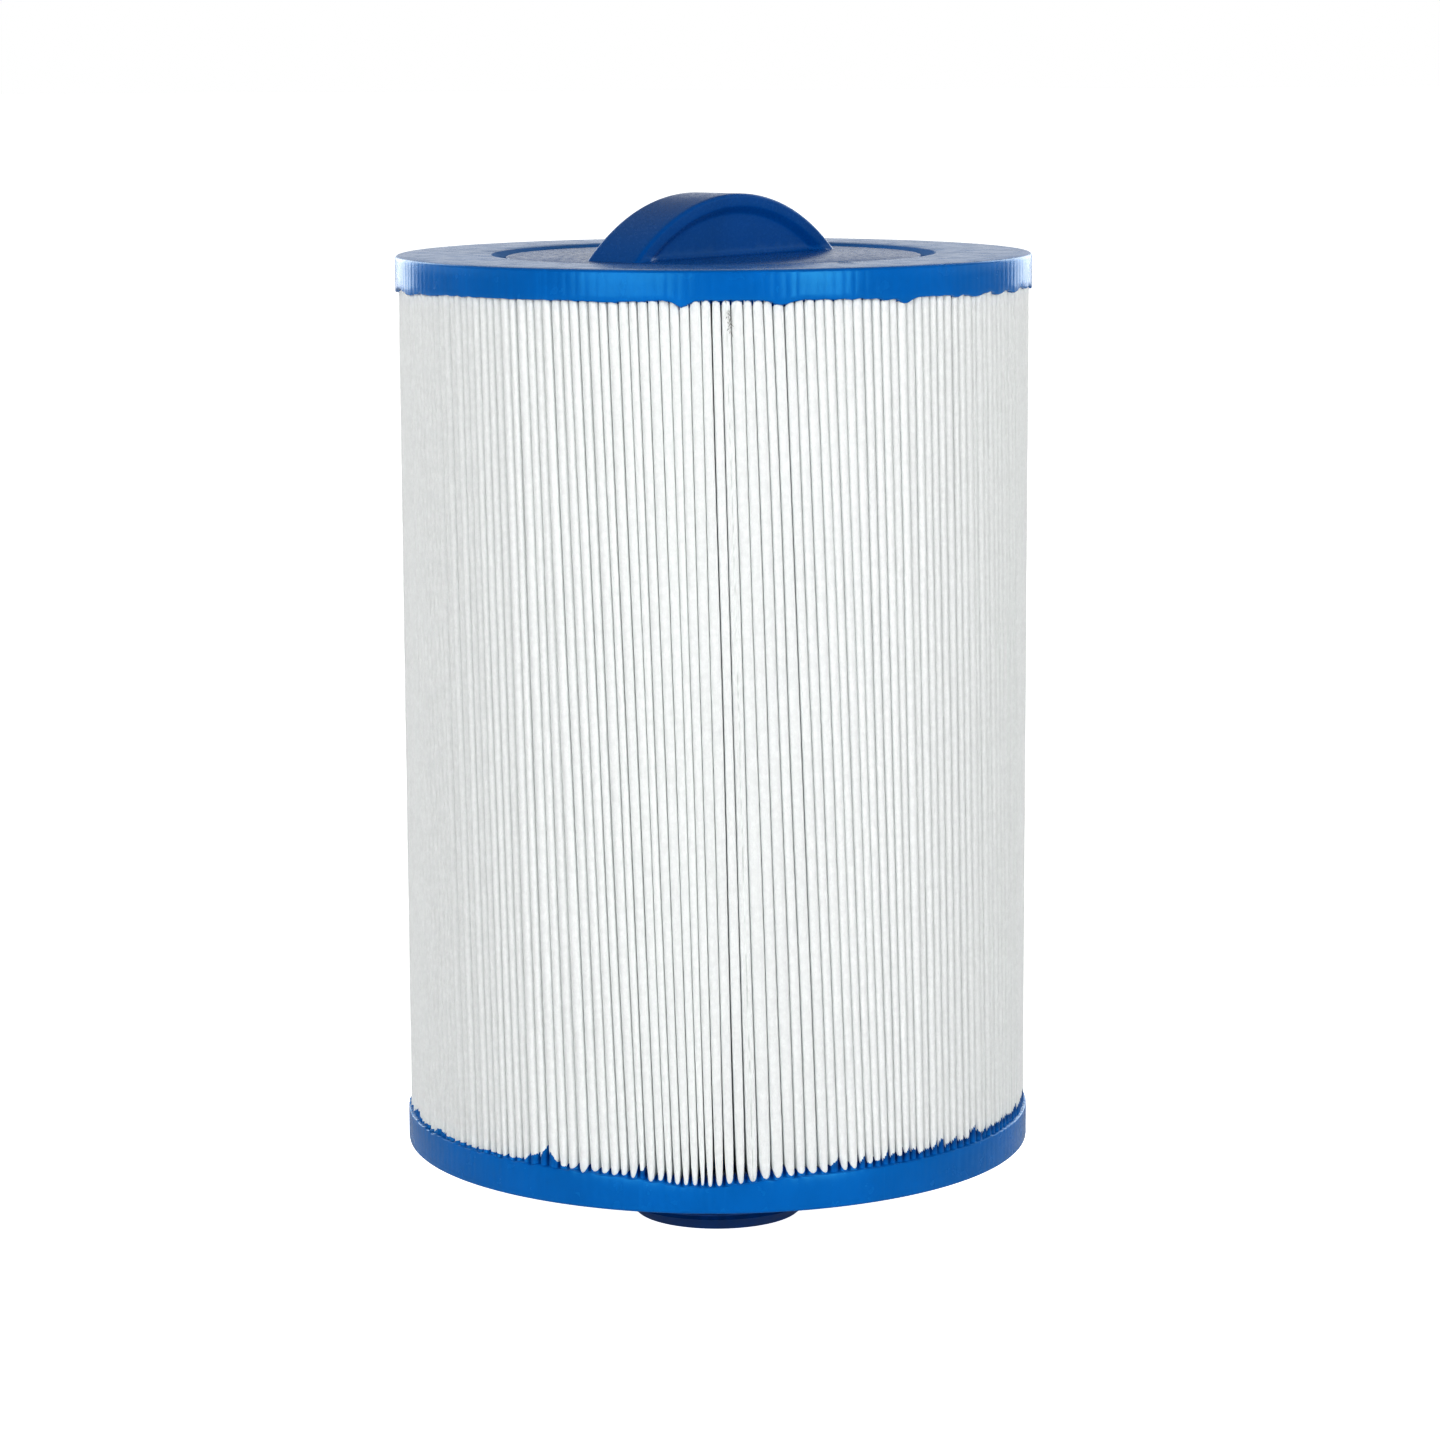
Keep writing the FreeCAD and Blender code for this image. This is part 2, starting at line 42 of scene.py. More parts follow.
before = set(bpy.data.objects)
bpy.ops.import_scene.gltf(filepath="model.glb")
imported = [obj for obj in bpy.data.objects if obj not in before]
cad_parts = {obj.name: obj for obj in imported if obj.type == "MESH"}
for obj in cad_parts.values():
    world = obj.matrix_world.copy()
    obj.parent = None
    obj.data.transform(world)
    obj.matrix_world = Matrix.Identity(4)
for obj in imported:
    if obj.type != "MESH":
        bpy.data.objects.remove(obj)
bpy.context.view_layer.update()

MM = 0.001
BODY = "root"
_, MEDIA_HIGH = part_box("pleated_media")
_, CORE_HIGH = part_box("centre_core")
BOTTOM_LOW, BOTTOM_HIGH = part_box("bottom_end_cap")
TOP_LOW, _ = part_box("top_end_cap")


# ---------------------------------------------------------------- settings


class CartridgeMediaSettings(bpy.types.PropertyGroup):
    """Sizes and colours of the pleated sheet."""

    pleat_count: IntProperty(
        name="Pleats", description="Number of pleats round the core", default=200, min=40)
    radius: FloatProperty(
        name="Fold tip radius", description="Radius over the outer folds",
        default=MEDIA_HIGH.x, unit="LENGTH")
    core_radius: FloatProperty(
        name="Inner fold radius",
        description="Radius of the sheet's middle line at the inner folds",
        default=CORE_HIGH.x + 0.7 * MM, unit="LENGTH")
    thickness: FloatProperty(
        name="Sheet thickness", description="Thickness of the cloth", default=0.38 * MM,
        unit="LENGTH")
    seam_angle: FloatProperty(
        name="Seam place", description="Where the seam stands, counted from the front",
        default=math.radians(2.2), subtype="ANGLE")
    cloth_colour: FloatVectorProperty(
        name="Cloth", description="Colour of the cloth on the folds", subtype="COLOR",
        default=(0.858, 0.88, 0.875), size=3, min=0, max=1)
    # Painted shade: the cloth deep between the folds takes this colour, a little lighter and tealer
    # than the cloth, standing in for the light and shade in the gaps.
    painted_gap_shade: FloatVectorProperty(
        name="Cloth in the gaps", description="Colour of the cloth deep between the folds",
        subtype="COLOR", default=(0.86, 0.925, 0.92), size=3, min=0, max=1)
    glue_colour: FloatVectorProperty(
        name="Seam glue", description="Colour of the hot melt in the seam", subtype="COLOR",
        default=(0.80, 0.83, 0.82), size=3, min=0, max=1)


class CartridgeCapSettings(bpy.types.PropertyGroup):
    """Colours of the two cast end caps."""

    resin_colour: FloatVectorProperty(
        name="Resin", description="Colour of the cast resin", subtype="COLOR",
        default=(0.0, 0.145, 0.47), size=3, min=0, max=1)
    # Painted shade: the dark navy laid on the resin deep between the folds, where shade falls.
    pocket_shade_colour: FloatVectorProperty(
        name="Resin in the gaps", description="Colour of the resin deep between the folds",
        subtype="COLOR", default=(0.0, 0.022, 0.16), size=3, min=0, max=1)


class CartridgeHandleSettings(bpy.types.PropertyGroup):
    """Sizes and colours of the handle insert."""

    arc_radius: FloatProperty(
        name="Grip radius", description="Radius of the half-moon's outside", default=56 * MM,
        unit="LENGTH")
    height: FloatProperty(
        name="Grip height", description="Height of the half-moon over its plate",
        default=14.5 * MM, unit="LENGTH")
    width: FloatProperty(
        name="Grip width", description="Thickness of the half-moon", default=15 * MM,
        unit="LENGTH")
    turn: FloatProperty(
        name="Turn", description="Turn of the half-moon from +X towards +Y",
        default=math.radians(51.4), subtype="ANGLE")
    plastic_colour: FloatVectorProperty(
        name="Handle plastic", description="Colour of the moulded handle", subtype="COLOR",
        default=(0.0, 0.094, 0.345), size=3, min=0, max=1)


class CartridgeStageSettings(bpy.types.PropertyGroup):
    """Floor, lights and camera."""

    floor_size: FloatProperty(
        name="Floor size", description="Width of the floor", default=40.0, unit="LENGTH")
    camera_distance: FloatProperty(
        name="Camera distance", description="From the cartridge's axis to the camera",
        default=0.9974, unit="LENGTH")
    camera_height: FloatProperty(
        name="Camera height", description="Height of the camera over the floor", default=0.2833,
        unit="LENGTH")
    camera_pitch: FloatProperty(
        name="Camera pitch", description="How far the camera looks down",
        default=math.radians(9.27), subtype="ANGLE")
    camera_roll: FloatProperty(
        name="Camera roll", description="Turn of the camera about its own line of sight",
        default=math.radians(-0.28), subtype="ANGLE")
    lens: FloatProperty(
        name="Lens", description="Focal length in millimetres", default=105.2)


# ---------------------------------------------------------------- common helpers


def on_round(radius, azimuth, height):
    """A point at an azimuth counted from the front, -Y, towards +X."""
    return Vector((radius * math.sin(azimuth), -radius * math.cos(azimuth), height))


def signed_degrees(azimuth):
    """An azimuth in degrees from -180 to 180."""
    return math.degrees((azimuth + math.pi) % math.tau - math.pi)


def smooth_step(value, low, high):
    """0 below low, 1 above high, and an even rise between."""
    share = min(max((value - low) / (high - low), 0.0), 1.0)
    return share * share * (3 - 2 * share)


def hump(value, centre, width):
    """A rounded bump of height 1 at a centre."""
    return math.exp(-((value - centre) / width) ** 2)


def blob(value, centre, width):
    """A bump of height 1 with a flat top and steep sides."""
    return math.exp(-((value - centre) / width) ** 4)


def heaped(table, degrees, shape):
    """The height that a table of (azimuth, height, width) rows adds up to at an azimuth."""
    return sum(size * shape(degrees, centre, width) for centre, size, width in table)


def ripple(x, y, seed):
    """Even random variation between about -1 and 1 along x and y."""
    return noise.noise(Vector((x, y, seed)))


def mesh_from(name, bm):
    """A mesh made from a bmesh, which is freed."""
    mesh = bpy.data.meshes.new(name)
    bm.to_mesh(mesh)
    bm.free()
    return mesh


def put_in_scene(name, data):
    """A new object in the scene for a mesh, a light or a camera."""
    thing = bpy.data.objects.new(name, data)
    bpy.context.scene.collection.objects.link(thing)
    return thing


def make_piece(name, bm, material, slot, *nodes):
    """A finished mesh as a piece of the cartridge, standing for its CAD nodes."""
    mesh = mesh_from(name, bm)
    piece = put_in_scene(name, mesh)
    mesh.materials.append(material)
    for face in mesh.polygons:
        face.use_smooth = True
    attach(piece, BODY)
    if nodes:
        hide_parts(*nodes)
    return piece


def turned(bm, outline, steps):
    """Spins an outline once round the cartridge's axis."""
    bmesh.ops.spin(
        bm, geom=outline, cent=(0, 0, 0), axis=(0, 0, 1), dvec=(0, 0, 0),
        angle=math.tau, steps=steps, use_merge=True)


def closed_strip(bm):
    """A rolled-up grid with its long edges merged and its ends filled."""
    bmesh.ops.remove_doubles(bm, verts=bm.verts, dist=0.001 * MM)
    bmesh.ops.holes_fill(bm, edges=bm.edges, sides=0)
    bmesh.ops.recalc_face_normals(bm, faces=bm.faces)
    return bm


def spun_profile(points, steps):
    """A closed outline turned about the cartridge's axis; each vertex keeps its outline row."""
    bm = bmesh.new()
    ring = [bm.verts.new(on_round(r, 0.0, z)) for r, z in points]
    edges = [bm.edges.new((ring[i], ring[(i + 1) % len(ring)])) for i in range(len(ring))]
    turned(bm, ring + edges, steps)
    return bm


# ---------------------------------------------------------------- materials


class Finish:
    """A material being put together from its shader, its nodes and the object coordinates."""

    def __init__(self, name, roughness, specular=0.5):
        self.material = bpy.data.materials.new(name)
        self.material.use_nodes = True
        self.tree = self.material.node_tree
        self.shader = next(n for n in self.tree.nodes if n.type == "BSDF_PRINCIPLED")
        self.shader.inputs["Roughness"].default_value = roughness
        self.shader.inputs["Specular IOR Level"].default_value = specular
        self.place = self.tree.nodes.new("ShaderNodeTexCoord").outputs["Object"]

    def node(self, kind, links=None, values=None, **settings):
        """A node with its settings, its plain values and its links."""
        node = self.tree.nodes.new(kind)
        for name, setting in settings.items():
            setattr(node, name, setting)
        for key, value in (values or {}).items():
            node.inputs[key].default_value = value
        for key, output in (links or {}).items():
            self.tree.links.new(output, node.inputs[key])
        return node

    def stretched(self, scale):
        """The object coordinates with each axis scaled."""
        return self.node(
            "ShaderNodeMapping", {"Vector": self.place}, {"Scale": scale}).outputs["Vector"]

    def grain(self, scale, detail=2.0, place=None, rough=0.5):
        """Random variation; the scale is in features per metre."""
        return self.node(
            "ShaderNodeTexNoise", {"Vector": place or self.place},
            {"Scale": scale, "Detail": detail, "Roughness": rough}).outputs["Fac"]

    def ranged(self, output, low, high, start=0.0, end=1.0):
        """An output carried from one range to another, held at its ends."""
        return self.node(
            "ShaderNodeMapRange", {"Value": output},
            {"From Min": low, "From Max": high, "To Min": start, "To Max": end},
            interpolation_type="SMOOTHSTEP").outputs["Result"]

    def sum(self, first, second, operation="ADD"):
        """Two outputs, or an output and a number, joined by arithmetic."""
        node = self.node("ShaderNodeMath", operation=operation)
        for socket, part in zip(node.inputs, (first, second)):
            if isinstance(part, (int, float)):
                socket.default_value = part
            else:
                self.tree.links.new(part, socket)
        return node.outputs["Value"]

    def blend(self, share, first, second):
        """A colour between two others; each is an output or a plain colour."""
        node = self.node("ShaderNodeMix", data_type="RGBA")
        for index, part in ((0, share), (6, first), (7, second)):
            if isinstance(part, bpy.types.NodeSocket):
                self.tree.links.new(part, node.inputs[index])
            else:
                node.inputs[index].default_value = (*part, 1.0)
        return node.outputs[2]

    def attribute(self, name):
        """A number kept on the piece's own mesh."""
        return self.node(
            "ShaderNodeAttribute", attribute_type="GEOMETRY", attribute_name=name).outputs["Fac"]

    def radius(self):
        """The distance from the cartridge's axis."""
        flat = self.node(
            "ShaderNodeVectorMath", {0: self.place}, {1: (1.0, 1.0, 0.0)}, operation="MULTIPLY")
        return self.node(
            "ShaderNodeVectorMath", {0: flat.outputs["Vector"]}, operation="LENGTH"
        ).outputs["Value"]

    def colour(self, output):
        """The surface's colour from an output."""
        self.tree.links.new(output, self.shader.inputs["Base Color"])

    def roughness(self, output):
        """The surface's roughness from an output."""
        self.tree.links.new(output, self.shader.inputs["Roughness"])

    def relief(self, output, distance, strength=1.0, under=None):
        """Fine relief in the surface; the distance is its height in metres."""
        links = {"Height": output}
        if under:
            links["Normal"] = under
        node = self.node(
            "ShaderNodeBump", links, {"Distance": distance, "Strength": strength})
        self.tree.links.new(node.outputs["Normal"], self.shader.inputs["Normal"])
        return node.outputs["Normal"]


# Painted highlight: the lighter cyan of the sheen streaks on the caps.
PAINTED_STREAK_SHEEN = (0.006, 0.20, 0.58)
RUBBED_EDGE = (0.02, 0.14, 0.42)
CORE_COLOURS = (0.74, 0.75, 0.73), (0.82, 0.83, 0.81)
DUST_COLOURS = (0.16, 0.15, 0.13), (0.45, 0.45, 0.42)


def tinted(colour, factor):
    """A colour made lighter or darker."""
    return tuple(min(1.0, part * factor) for part in colour[:])


def media_cloth():
    """Spun-bonded polyester: matt white, faintly mottled, fibres lying at random, with painted
    shade deep between the folds.
    """
    media = bpy.context.scene.cartridge_media
    finish = Finish("media_cloth", 0.85, 0.25)
    finish.shader.inputs["Subsurface Weight"].default_value = 0.5
    finish.shader.inputs["Subsurface Radius"].default_value = (1.0, 1.0, 1.0)
    finish.shader.inputs["Subsurface Scale"].default_value = 1.6 * MM
    cloth = finish.blend(
        finish.ranged(finish.grain(700.0, 3.0), 0.3, 0.7),
        tinted(media.cloth_colour, 0.965), tinted(media.cloth_colour, 1.02))
    fibres = finish.grain(1.0, 4.0, finish.stretched((5200.0, 5200.0, 1500.0)), 0.6)
    cloth = finish.blend(
        finish.ranged(fibres, 0.35, 0.5), tinted(media.cloth_colour, 0.95), cloth)
    # Painted shade: the cloth blends to the gap shade colour the deeper it lies between the folds.
    depth = finish.ranged(
        finish.radius(), media.radius - 3.6 * MM, media.radius - 1.1 * MM)
    finish.colour(finish.blend(depth, media.painted_gap_shade, cloth))
    weave = finish.relief(finish.grain(420.0, 2.0), 0.05 * MM, 0.5)
    finish.relief(fibres, 0.04 * MM, 0.8, weave)
    return finish.material


def cast_resin():
    """Poured blue resin: satin, a little cloudy, with faint upright marks from its mould in its
    relief, and painted lighter streaks of sheen along them.
    """
    caps = bpy.context.scene.cartridge_caps
    finish = Finish("cast_resin", 0.3, 0.6)
    finish.shader.inputs["Specular Tint"].default_value = (0.12, 0.62, 0.75, 1.0)
    cloud = finish.ranged(finish.grain(55.0, 3.0), 0.3, 0.7)
    resin = finish.blend(cloud, tinted(caps.resin_colour, 0.93), tinted(caps.resin_colour, 1.06))
    mould_marks_and_sheen = finish.grain(1.0, 3.0, finish.stretched((520.0, 520.0, 14.0)), 0.65)
    # Painted highlight: lighter cyan streaks of sheen along the upright mould marks.
    resin = finish.blend(
        finish.ranged(mould_marks_and_sheen, 0.56, 0.74, 0.0, 0.28), resin, PAINTED_STREAK_SHEEN)
    speck = finish.ranged(finish.grain(1600.0, 1.0), 0.62, 0.75, 0.0, 0.2)
    resin = finish.blend(speck, resin, tinted(caps.resin_colour, 0.82))
    # Painted shade on the resin between the folds, from the mesh's pocket shade numbers.
    finish.colour(finish.blend(finish.attribute("pocket_painted_shade"), resin, caps.pocket_shade_colour))
    matt = finish.ranged(finish.grain(240.0, 4.0), 0.35, 0.7, 0.22, 0.28)
    finish.roughness(finish.sum(matt, finish.attribute("matt")))
    side = finish.ranged(finish.radius(), 74.0 * MM, 74.9 * MM)
    marked = finish.relief(finish.sum(mould_marks_and_sheen, side, "MULTIPLY"), 0.05 * MM, 0.3)
    finish.relief(finish.grain(70.0, 1.0), 0.02 * MM, 0.15, marked)
    return finish.material


def handle_plastic():
    """Injection-moulded blue plastic with a fine even grain and light rubbing on its edges."""
    handle = bpy.context.scene.cartridge_handle
    finish = Finish("handle_plastic", 0.26, 0.3)
    finish.shader.inputs["Specular Tint"].default_value = (0.3, 0.8, 0.8, 1.0)
    cloud = finish.ranged(finish.grain(38.0, 2.0), 0.3, 0.7)
    plastic = finish.blend(
        cloud, tinted(handle.plastic_colour, 0.92), tinted(handle.plastic_colour, 1.07))
    rub = finish.grain(1.0, 4.0, finish.stretched((900.0, 260.0, 900.0)), 0.6)
    plastic = finish.blend(
        finish.ranged(rub, 0.62, 0.78, 0.0, 0.25), plastic, RUBBED_EDGE)
    finish.colour(plastic)
    finish.roughness(finish.ranged(rub, 0.3, 0.75, 0.22, 0.32))
    grain = finish.relief(finish.grain(1300.0, 1.0), 0.003 * MM, 0.2)
    finish.relief(finish.grain(60.0, 1.0), 0.03 * MM, 0.12, grain)
    return finish.material


def outlet_plastic():
    """Moulded blue plastic of the threaded outlet, with flow marks along its axis, painted darker
    than the handle's plastic as the shade under the cap.
    """
    handle = bpy.context.scene.cartridge_handle
    finish = Finish("outlet_plastic", 0.4, 0.5)
    flow = finish.grain(1.0, 3.0, finish.stretched((260.0, 260.0, 40.0)), 0.55)
    # Painted shade: the handle's plastic darkened to 0.72-0.86 for the outlet in the cap's shade;
    # the flow marks vary it between these.
    finish.colour(finish.blend(
        finish.ranged(flow, 0.35, 0.65),
        tinted(handle.plastic_colour, 0.72), tinted(handle.plastic_colour, 0.86)))
    finish.roughness(finish.ranged(flow, 0.3, 0.7, 0.36, 0.46))
    finish.relief(finish.grain(2200.0, 2.0), 0.012 * MM, 0.5)
    return finish.material


def core_plastic():
    """Off-white polypropylene of the core, slightly waxy."""
    finish = Finish("core_plastic", 0.45, 0.45)
    cloud = finish.ranged(finish.grain(60.0, 3.0), 0.3, 0.7)
    finish.colour(finish.blend(cloud, *CORE_COLOURS))
    finish.relief(finish.grain(1300.0, 2.0), 0.015 * MM, 0.5)
    return finish.material


def seam_glue():
    """Hot melt with cloth fibres in it."""
    media = bpy.context.scene.cartridge_media
    finish = Finish("seam_glue", 0.4, 0.4)
    stringy = finish.grain(1.0, 3.0, finish.stretched((2600.0, 2600.0, 320.0)))
    finish.colour(finish.blend(
        finish.ranged(stringy, 0.35, 0.65),
        tinted(media.glue_colour, 0.8), tinted(media.glue_colour, 1.1)))
    finish.relief(stringy, 0.05 * MM, 0.6)
    return finish.material


def frayed_fibre():
    """Loose fibres of the cloth's cut edge, with dust in them."""
    finish = Finish("frayed_fibre", 0.8, 0.2)
    dust = finish.ranged(finish.grain(1500.0, 2.0), 0.35, 0.65)
    finish.colour(finish.blend(dust, *DUST_COLOURS))
    return finish.material


# ---------------------------------------------------------------- pleats


LAYOUT_SEED = 20
# The folds' lean in degrees over the media's height, and where it differs from the usual.
USUAL_LEAN = 5.3
LEAN_CHANGES = (
    (-2, -1.9, 7), (-25, 1.1, 8), (18, 1.2, 9), (40, -0.8, 10), (-40, -0.8, 10))
# The gaps' half widths in millimetres. They open towards both caps, and low at the front.
GAP_LEAST, GAP_SPREAD = 0.014, 0.075
FOOT_GAP, FOOT_SPREAD, FOOT_FADE = 0.20, 0.12, 3.6
HEAD_GAP, HEAD_FADE = 0.10, 4.0
FRONT_GAP, FRONT_FADE = (-2, 0.15, 12), 22.0
# How far a gap strays from its even place along its height, and as a whole, in pitches.
WANDER, STRAY = 0.055, 0.085


def drop_share(height):
    """How far down the media a height is: 0 at the top cap, 1 at the bottom cap."""
    return (TOP_LOW.z - height) / (TOP_LOW.z - BOTTOM_HIGH.z)


class PleatLayout:
    """Where every gap between two pleats stands, from the seam round to the seam again."""

    def __init__(self):
        media = bpy.context.scene.cartridge_media
        draw = random.Random(LAYOUT_SEED)
        self.count = media.pleat_count
        self.pitch = math.tau / self.count
        self.seam = media.seam_angle
        self.radius = media.radius
        self.half_sheet = media.thickness / 2
        self.base = [self.seam + (k + 0.5) * self.pitch for k in range(self.count)]
        self.sway = [(draw.uniform(-1, 1), draw.uniform(0, math.tau), draw.uniform(0.7, 1.8))
                     for _ in range(self.count)]
        self.shift = [draw.uniform(-1, 1) for _ in range(self.count)]
        self.open = [draw.random() ** 1.6 for _ in range(self.count)]
        self.open[0], self.open[-1] = 0.25, 0.6
        self.drop = [draw.uniform(0.0, 0.42) * MM for _ in range(self.count)]
        self.climb = [draw.uniform(0.7, 1.3) for _ in range(self.count)]
        self.film = [draw.uniform(-1, 1) for _ in range(self.count)]
        self.levels = {}

    def lean(self, azimuth):
        """How far the folds at an azimuth lean round, in radians over the media's height."""
        change = heaped(LEAN_CHANGES, signed_degrees(azimuth), hump)
        return math.radians(USUAL_LEAN + change)

    def at(self, height):
        """The gaps' azimuths and half widths in radians, at a height."""
        key = round(height, 6)
        if key not in self.levels:
            share = drop_share(height)
            above = max(height - BOTTOM_HIGH.z, -1 * MM) / MM
            below = max(TOP_LOW.z - height, -1 * MM) / MM
            gaps, halves = [], []
            for k in range(self.count):
                size, phase, waves = self.sway[k]
                wander = WANDER * size * math.sin(phase + waves * math.tau * share)
                wander += STRAY * self.shift[k]
                gaps.append(self.base[k] + self.lean(self.base[k]) * share + wander * self.pitch)
                place = signed_degrees(self.base[k])
                width = (GAP_LEAST + GAP_SPREAD * self.open[k]) * (1 + 0.6 * hump(place, 0, 11))
                width += (FOOT_GAP + FOOT_SPREAD * self.open[k - 1]) * math.exp(
                    -above / FOOT_FADE)
                width += HEAD_GAP * math.exp(-below / HEAD_FADE)
                width += heaped((FRONT_GAP,), place, hump) * math.exp(-above / FRONT_FADE)
                halves.append((width * MM + self.half_sheet) / self.radius)
            self.levels[key] = (gaps, halves)
        return self.levels[key]

    def sides(self, pleat, height):
        """The azimuths of a pleat's two walls at its fold; the seam's pleat is 0 and also count."""
        gaps, halves = self.at(height)
        left, right = pleat - 1, pleat
        low = gaps[left % self.count] + math.tau * (left // self.count)
        high = gaps[right % self.count] + math.tau * (right // self.count)
        return low + halves[left % self.count], high - halves[right % self.count]

    def tip_radius(self, pleat):
        """Radius of the sheet's middle line at a pleat's tip."""
        return self.radius - self.half_sheet - self.drop[pleat % self.count]


_layout = []


def pleat_layout():
    """The one layout that the sheet, its seam and both caps share."""
    if not _layout:
        _layout.append(PleatLayout())
    return _layout[0]


# Where the sheet has its upright lines: turns round a fold in degrees, the turn at which the two
# cut edges end, and the heights of its rows in millimetres.
FOLD_ANGLES = (-90, -60, -30, 0, 30, 60, 90)
SEAM_LIP = 9
MEDIA_LEVELS = (
    24.9, 26.2, 27.4, 28.6, 29.8, 31.2, 33.0, 36.0, 41.0, 55.0, 72.0, 89.0, 106.0, 123.0,
    140.0, 157.0, 174.0, 191.0, 206.0, 216.0, 221.0, 223.4, 225.2, 227.8)


def sheet_columns(count):
    """The upright lines of the sheet, from one cut edge to the other."""
    columns = [("fold", 0, angle) for angle in (SEAM_LIP, 50, 90)]
    for gap in range(count):
        columns += [("root", gap, side) for side in (-1, 0, 1)]
        if gap < count - 1:
            columns += [("fold", gap + 1, angle) for angle in FOLD_ANGLES]
    columns += [("fold", count, angle) for angle in (-90, -50, -SEAM_LIP)]
    return columns


def sheet_point(layout, column, height):
    """The place of the sheet's middle line on one upright line, at a height."""
    kind, index, turn = column
    if kind == "root":
        gaps, _ = layout.at(height)
        inner = bpy.context.scene.cartridge_media.core_radius
        bend = layout.pitch / 4
        radius = inner + (bend * inner if turn else 0.0)
        base = layout.base[index]
        middle = 0.8 * (base + layout.lean(base) * drop_share(height))
        return on_round(radius, middle + 0.2 * gaps[index] + turn * bend, height)
    low, high = layout.sides(index, height)
    tip = layout.tip_radius(index)
    half = (high - low) / 2
    tip += 0.06 * MM * ripple(index * 7.3, height * 60, 3.0)
    angle = math.radians(turn)
    azimuth = (low + high) / 2 + half * math.sin(angle)
    return on_round(tip - half * tip * (1 - math.cos(angle)), azimuth, height)


def pleated_sheet():
    """The whole sheet as one strip of cloth, folded round the core."""
    layout = pleat_layout()
    columns = sheet_columns(layout.count)
    across, up = len(columns) - 1, len(MEDIA_LEVELS) - 1
    bm = bmesh.new()
    bmesh.ops.create_grid(bm, x_segments=across, y_segments=up, size=0.5)
    for vert in bm.verts:
        column = columns[round((vert.co.x + 0.5) * across)]
        height = MEDIA_LEVELS[round((vert.co.y + 0.5) * up)] * MM
        vert.co = sheet_point(layout, column, height)
    bmesh.ops.recalc_face_normals(bm, faces=bm.faces)
    return bm


class CARTRIDGE_OT_pleated_sheet(bpy.types.Operator):
    """Fold the filter cloth round the core"""

    bl_idname = "cartridge.pleated_sheet"
    bl_label = "Pleated sheet"

    def execute(self, context):
        media = context.scene.cartridge_media
        piece = make_piece(
            "pleated_sheet", pleated_sheet(), media_cloth(), "media_fabric", "pleated_media")
        cloth = piece.modifiers.new("cloth", "SOLIDIFY")
        cloth.thickness = media.thickness
        cloth.offset = 0.0
        return {"FINISHED"}


# The bead's outline in millimetres: outwards from the fold tips, and to the side.
BEAD_SECTION = (
    (-8.0, 0.0), (-8.0, -0.12), (-1.4, -0.16), (-0.45, -0.22), (-0.12, -0.16), (0.0, 0.0),
    (-0.12, 0.16), (-0.45, 0.22), (-1.4, 0.16), (-8.0, 0.12), (-8.0, 0.0))
BEAD_ROWS = 90


def seam_line():
    """The bead of hot melt between the sheet's two cut edges."""
    layout = pleat_layout()
    across = len(BEAD_SECTION) - 1
    bm = bmesh.new()
    bmesh.ops.create_grid(bm, x_segments=across, y_segments=BEAD_ROWS, size=0.5)
    for vert in bm.verts:
        depth, side = BEAD_SECTION[round((vert.co.x + 0.5) * across)]
        share = vert.co.y + 0.5
        height = (BOTTOM_LOW.z + 6.0 * MM) * (1 - share) + TOP_LOW.z * share
        low, high = layout.sides(0, height)
        tip = layout.tip_radius(0) + 0.08 * MM
        swell = 1 + 0.35 * ripple(height * 240, 0.0, 9.0)
        uneven = 0.10 * ripple(height * 420, 5.0, 2.0) if depth > -2 else 0.0
        radius = tip + (depth + uneven) * MM
        vert.co = on_round(radius, (low + high) / 2 + side * swell * MM / radius, height)
    return closed_strip(bm)


FRAY_SEED = 7
FRAY_COUNT = 26
FRAY_STEPS = 7


def loose_fibres():
    """Short threads that stand out of the seam's cut edge, near its top."""
    layout = pleat_layout()
    draw = random.Random(FRAY_SEED)
    bm = bmesh.new()
    for _ in range(FRAY_COUNT):
        height = TOP_LOW.z - draw.uniform(1.2, 7.4) * MM
        _, high = layout.sides(0, height)
        start = high + draw.uniform(-0.55, 0.25) * MM / layout.radius
        thick = draw.uniform(0.035, 0.075) * MM
        drift = draw.uniform(-0.6, 0.9) * MM / layout.radius
        fall = draw.uniform(-1.3, 1.3) * MM
        stand = draw.uniform(0.1, 0.45) * MM
        before = set(bm.verts)
        bmesh.ops.create_grid(bm, x_segments=4, y_segments=FRAY_STEPS, size=0.5)
        for vert in set(bm.verts) - before:
            around = (vert.co.x + 0.5) * math.tau
            share = vert.co.y + 0.5
            arch = math.sin(share * math.pi)
            radius = layout.tip_radius(0) + stand * arch - 0.25 * MM * (1 - arch)
            centre = on_round(radius, start + drift * share, height + fall * share)
            out = on_round(1.0, start, 0.0)
            along = Vector((0, 0, 1)).cross(out) * drift * layout.radius + Vector((0, 0, fall))
            side = out.cross(along.normalized())
            slim = thick * (1 - 0.6 * share)
            vert.co = centre + out * slim * math.cos(around) + side * slim * math.sin(around)
    return closed_strip(bm)


class CARTRIDGE_OT_seam(bpy.types.Operator):
    """Close the sheet with its bead of hot melt and the frayed edge"""

    bl_idname = "cartridge.seam"
    bl_label = "Seam"

    def execute(self, context):
        make_piece("seam_line", seam_line(), seam_glue(), "seam_glue", "seam_bead")
        make_piece("loose_fibres", loose_fibres(), frayed_fibre(), "media_fabric")
        return {"FINISHED"}


# ---------------------------------------------------------------- cast caps

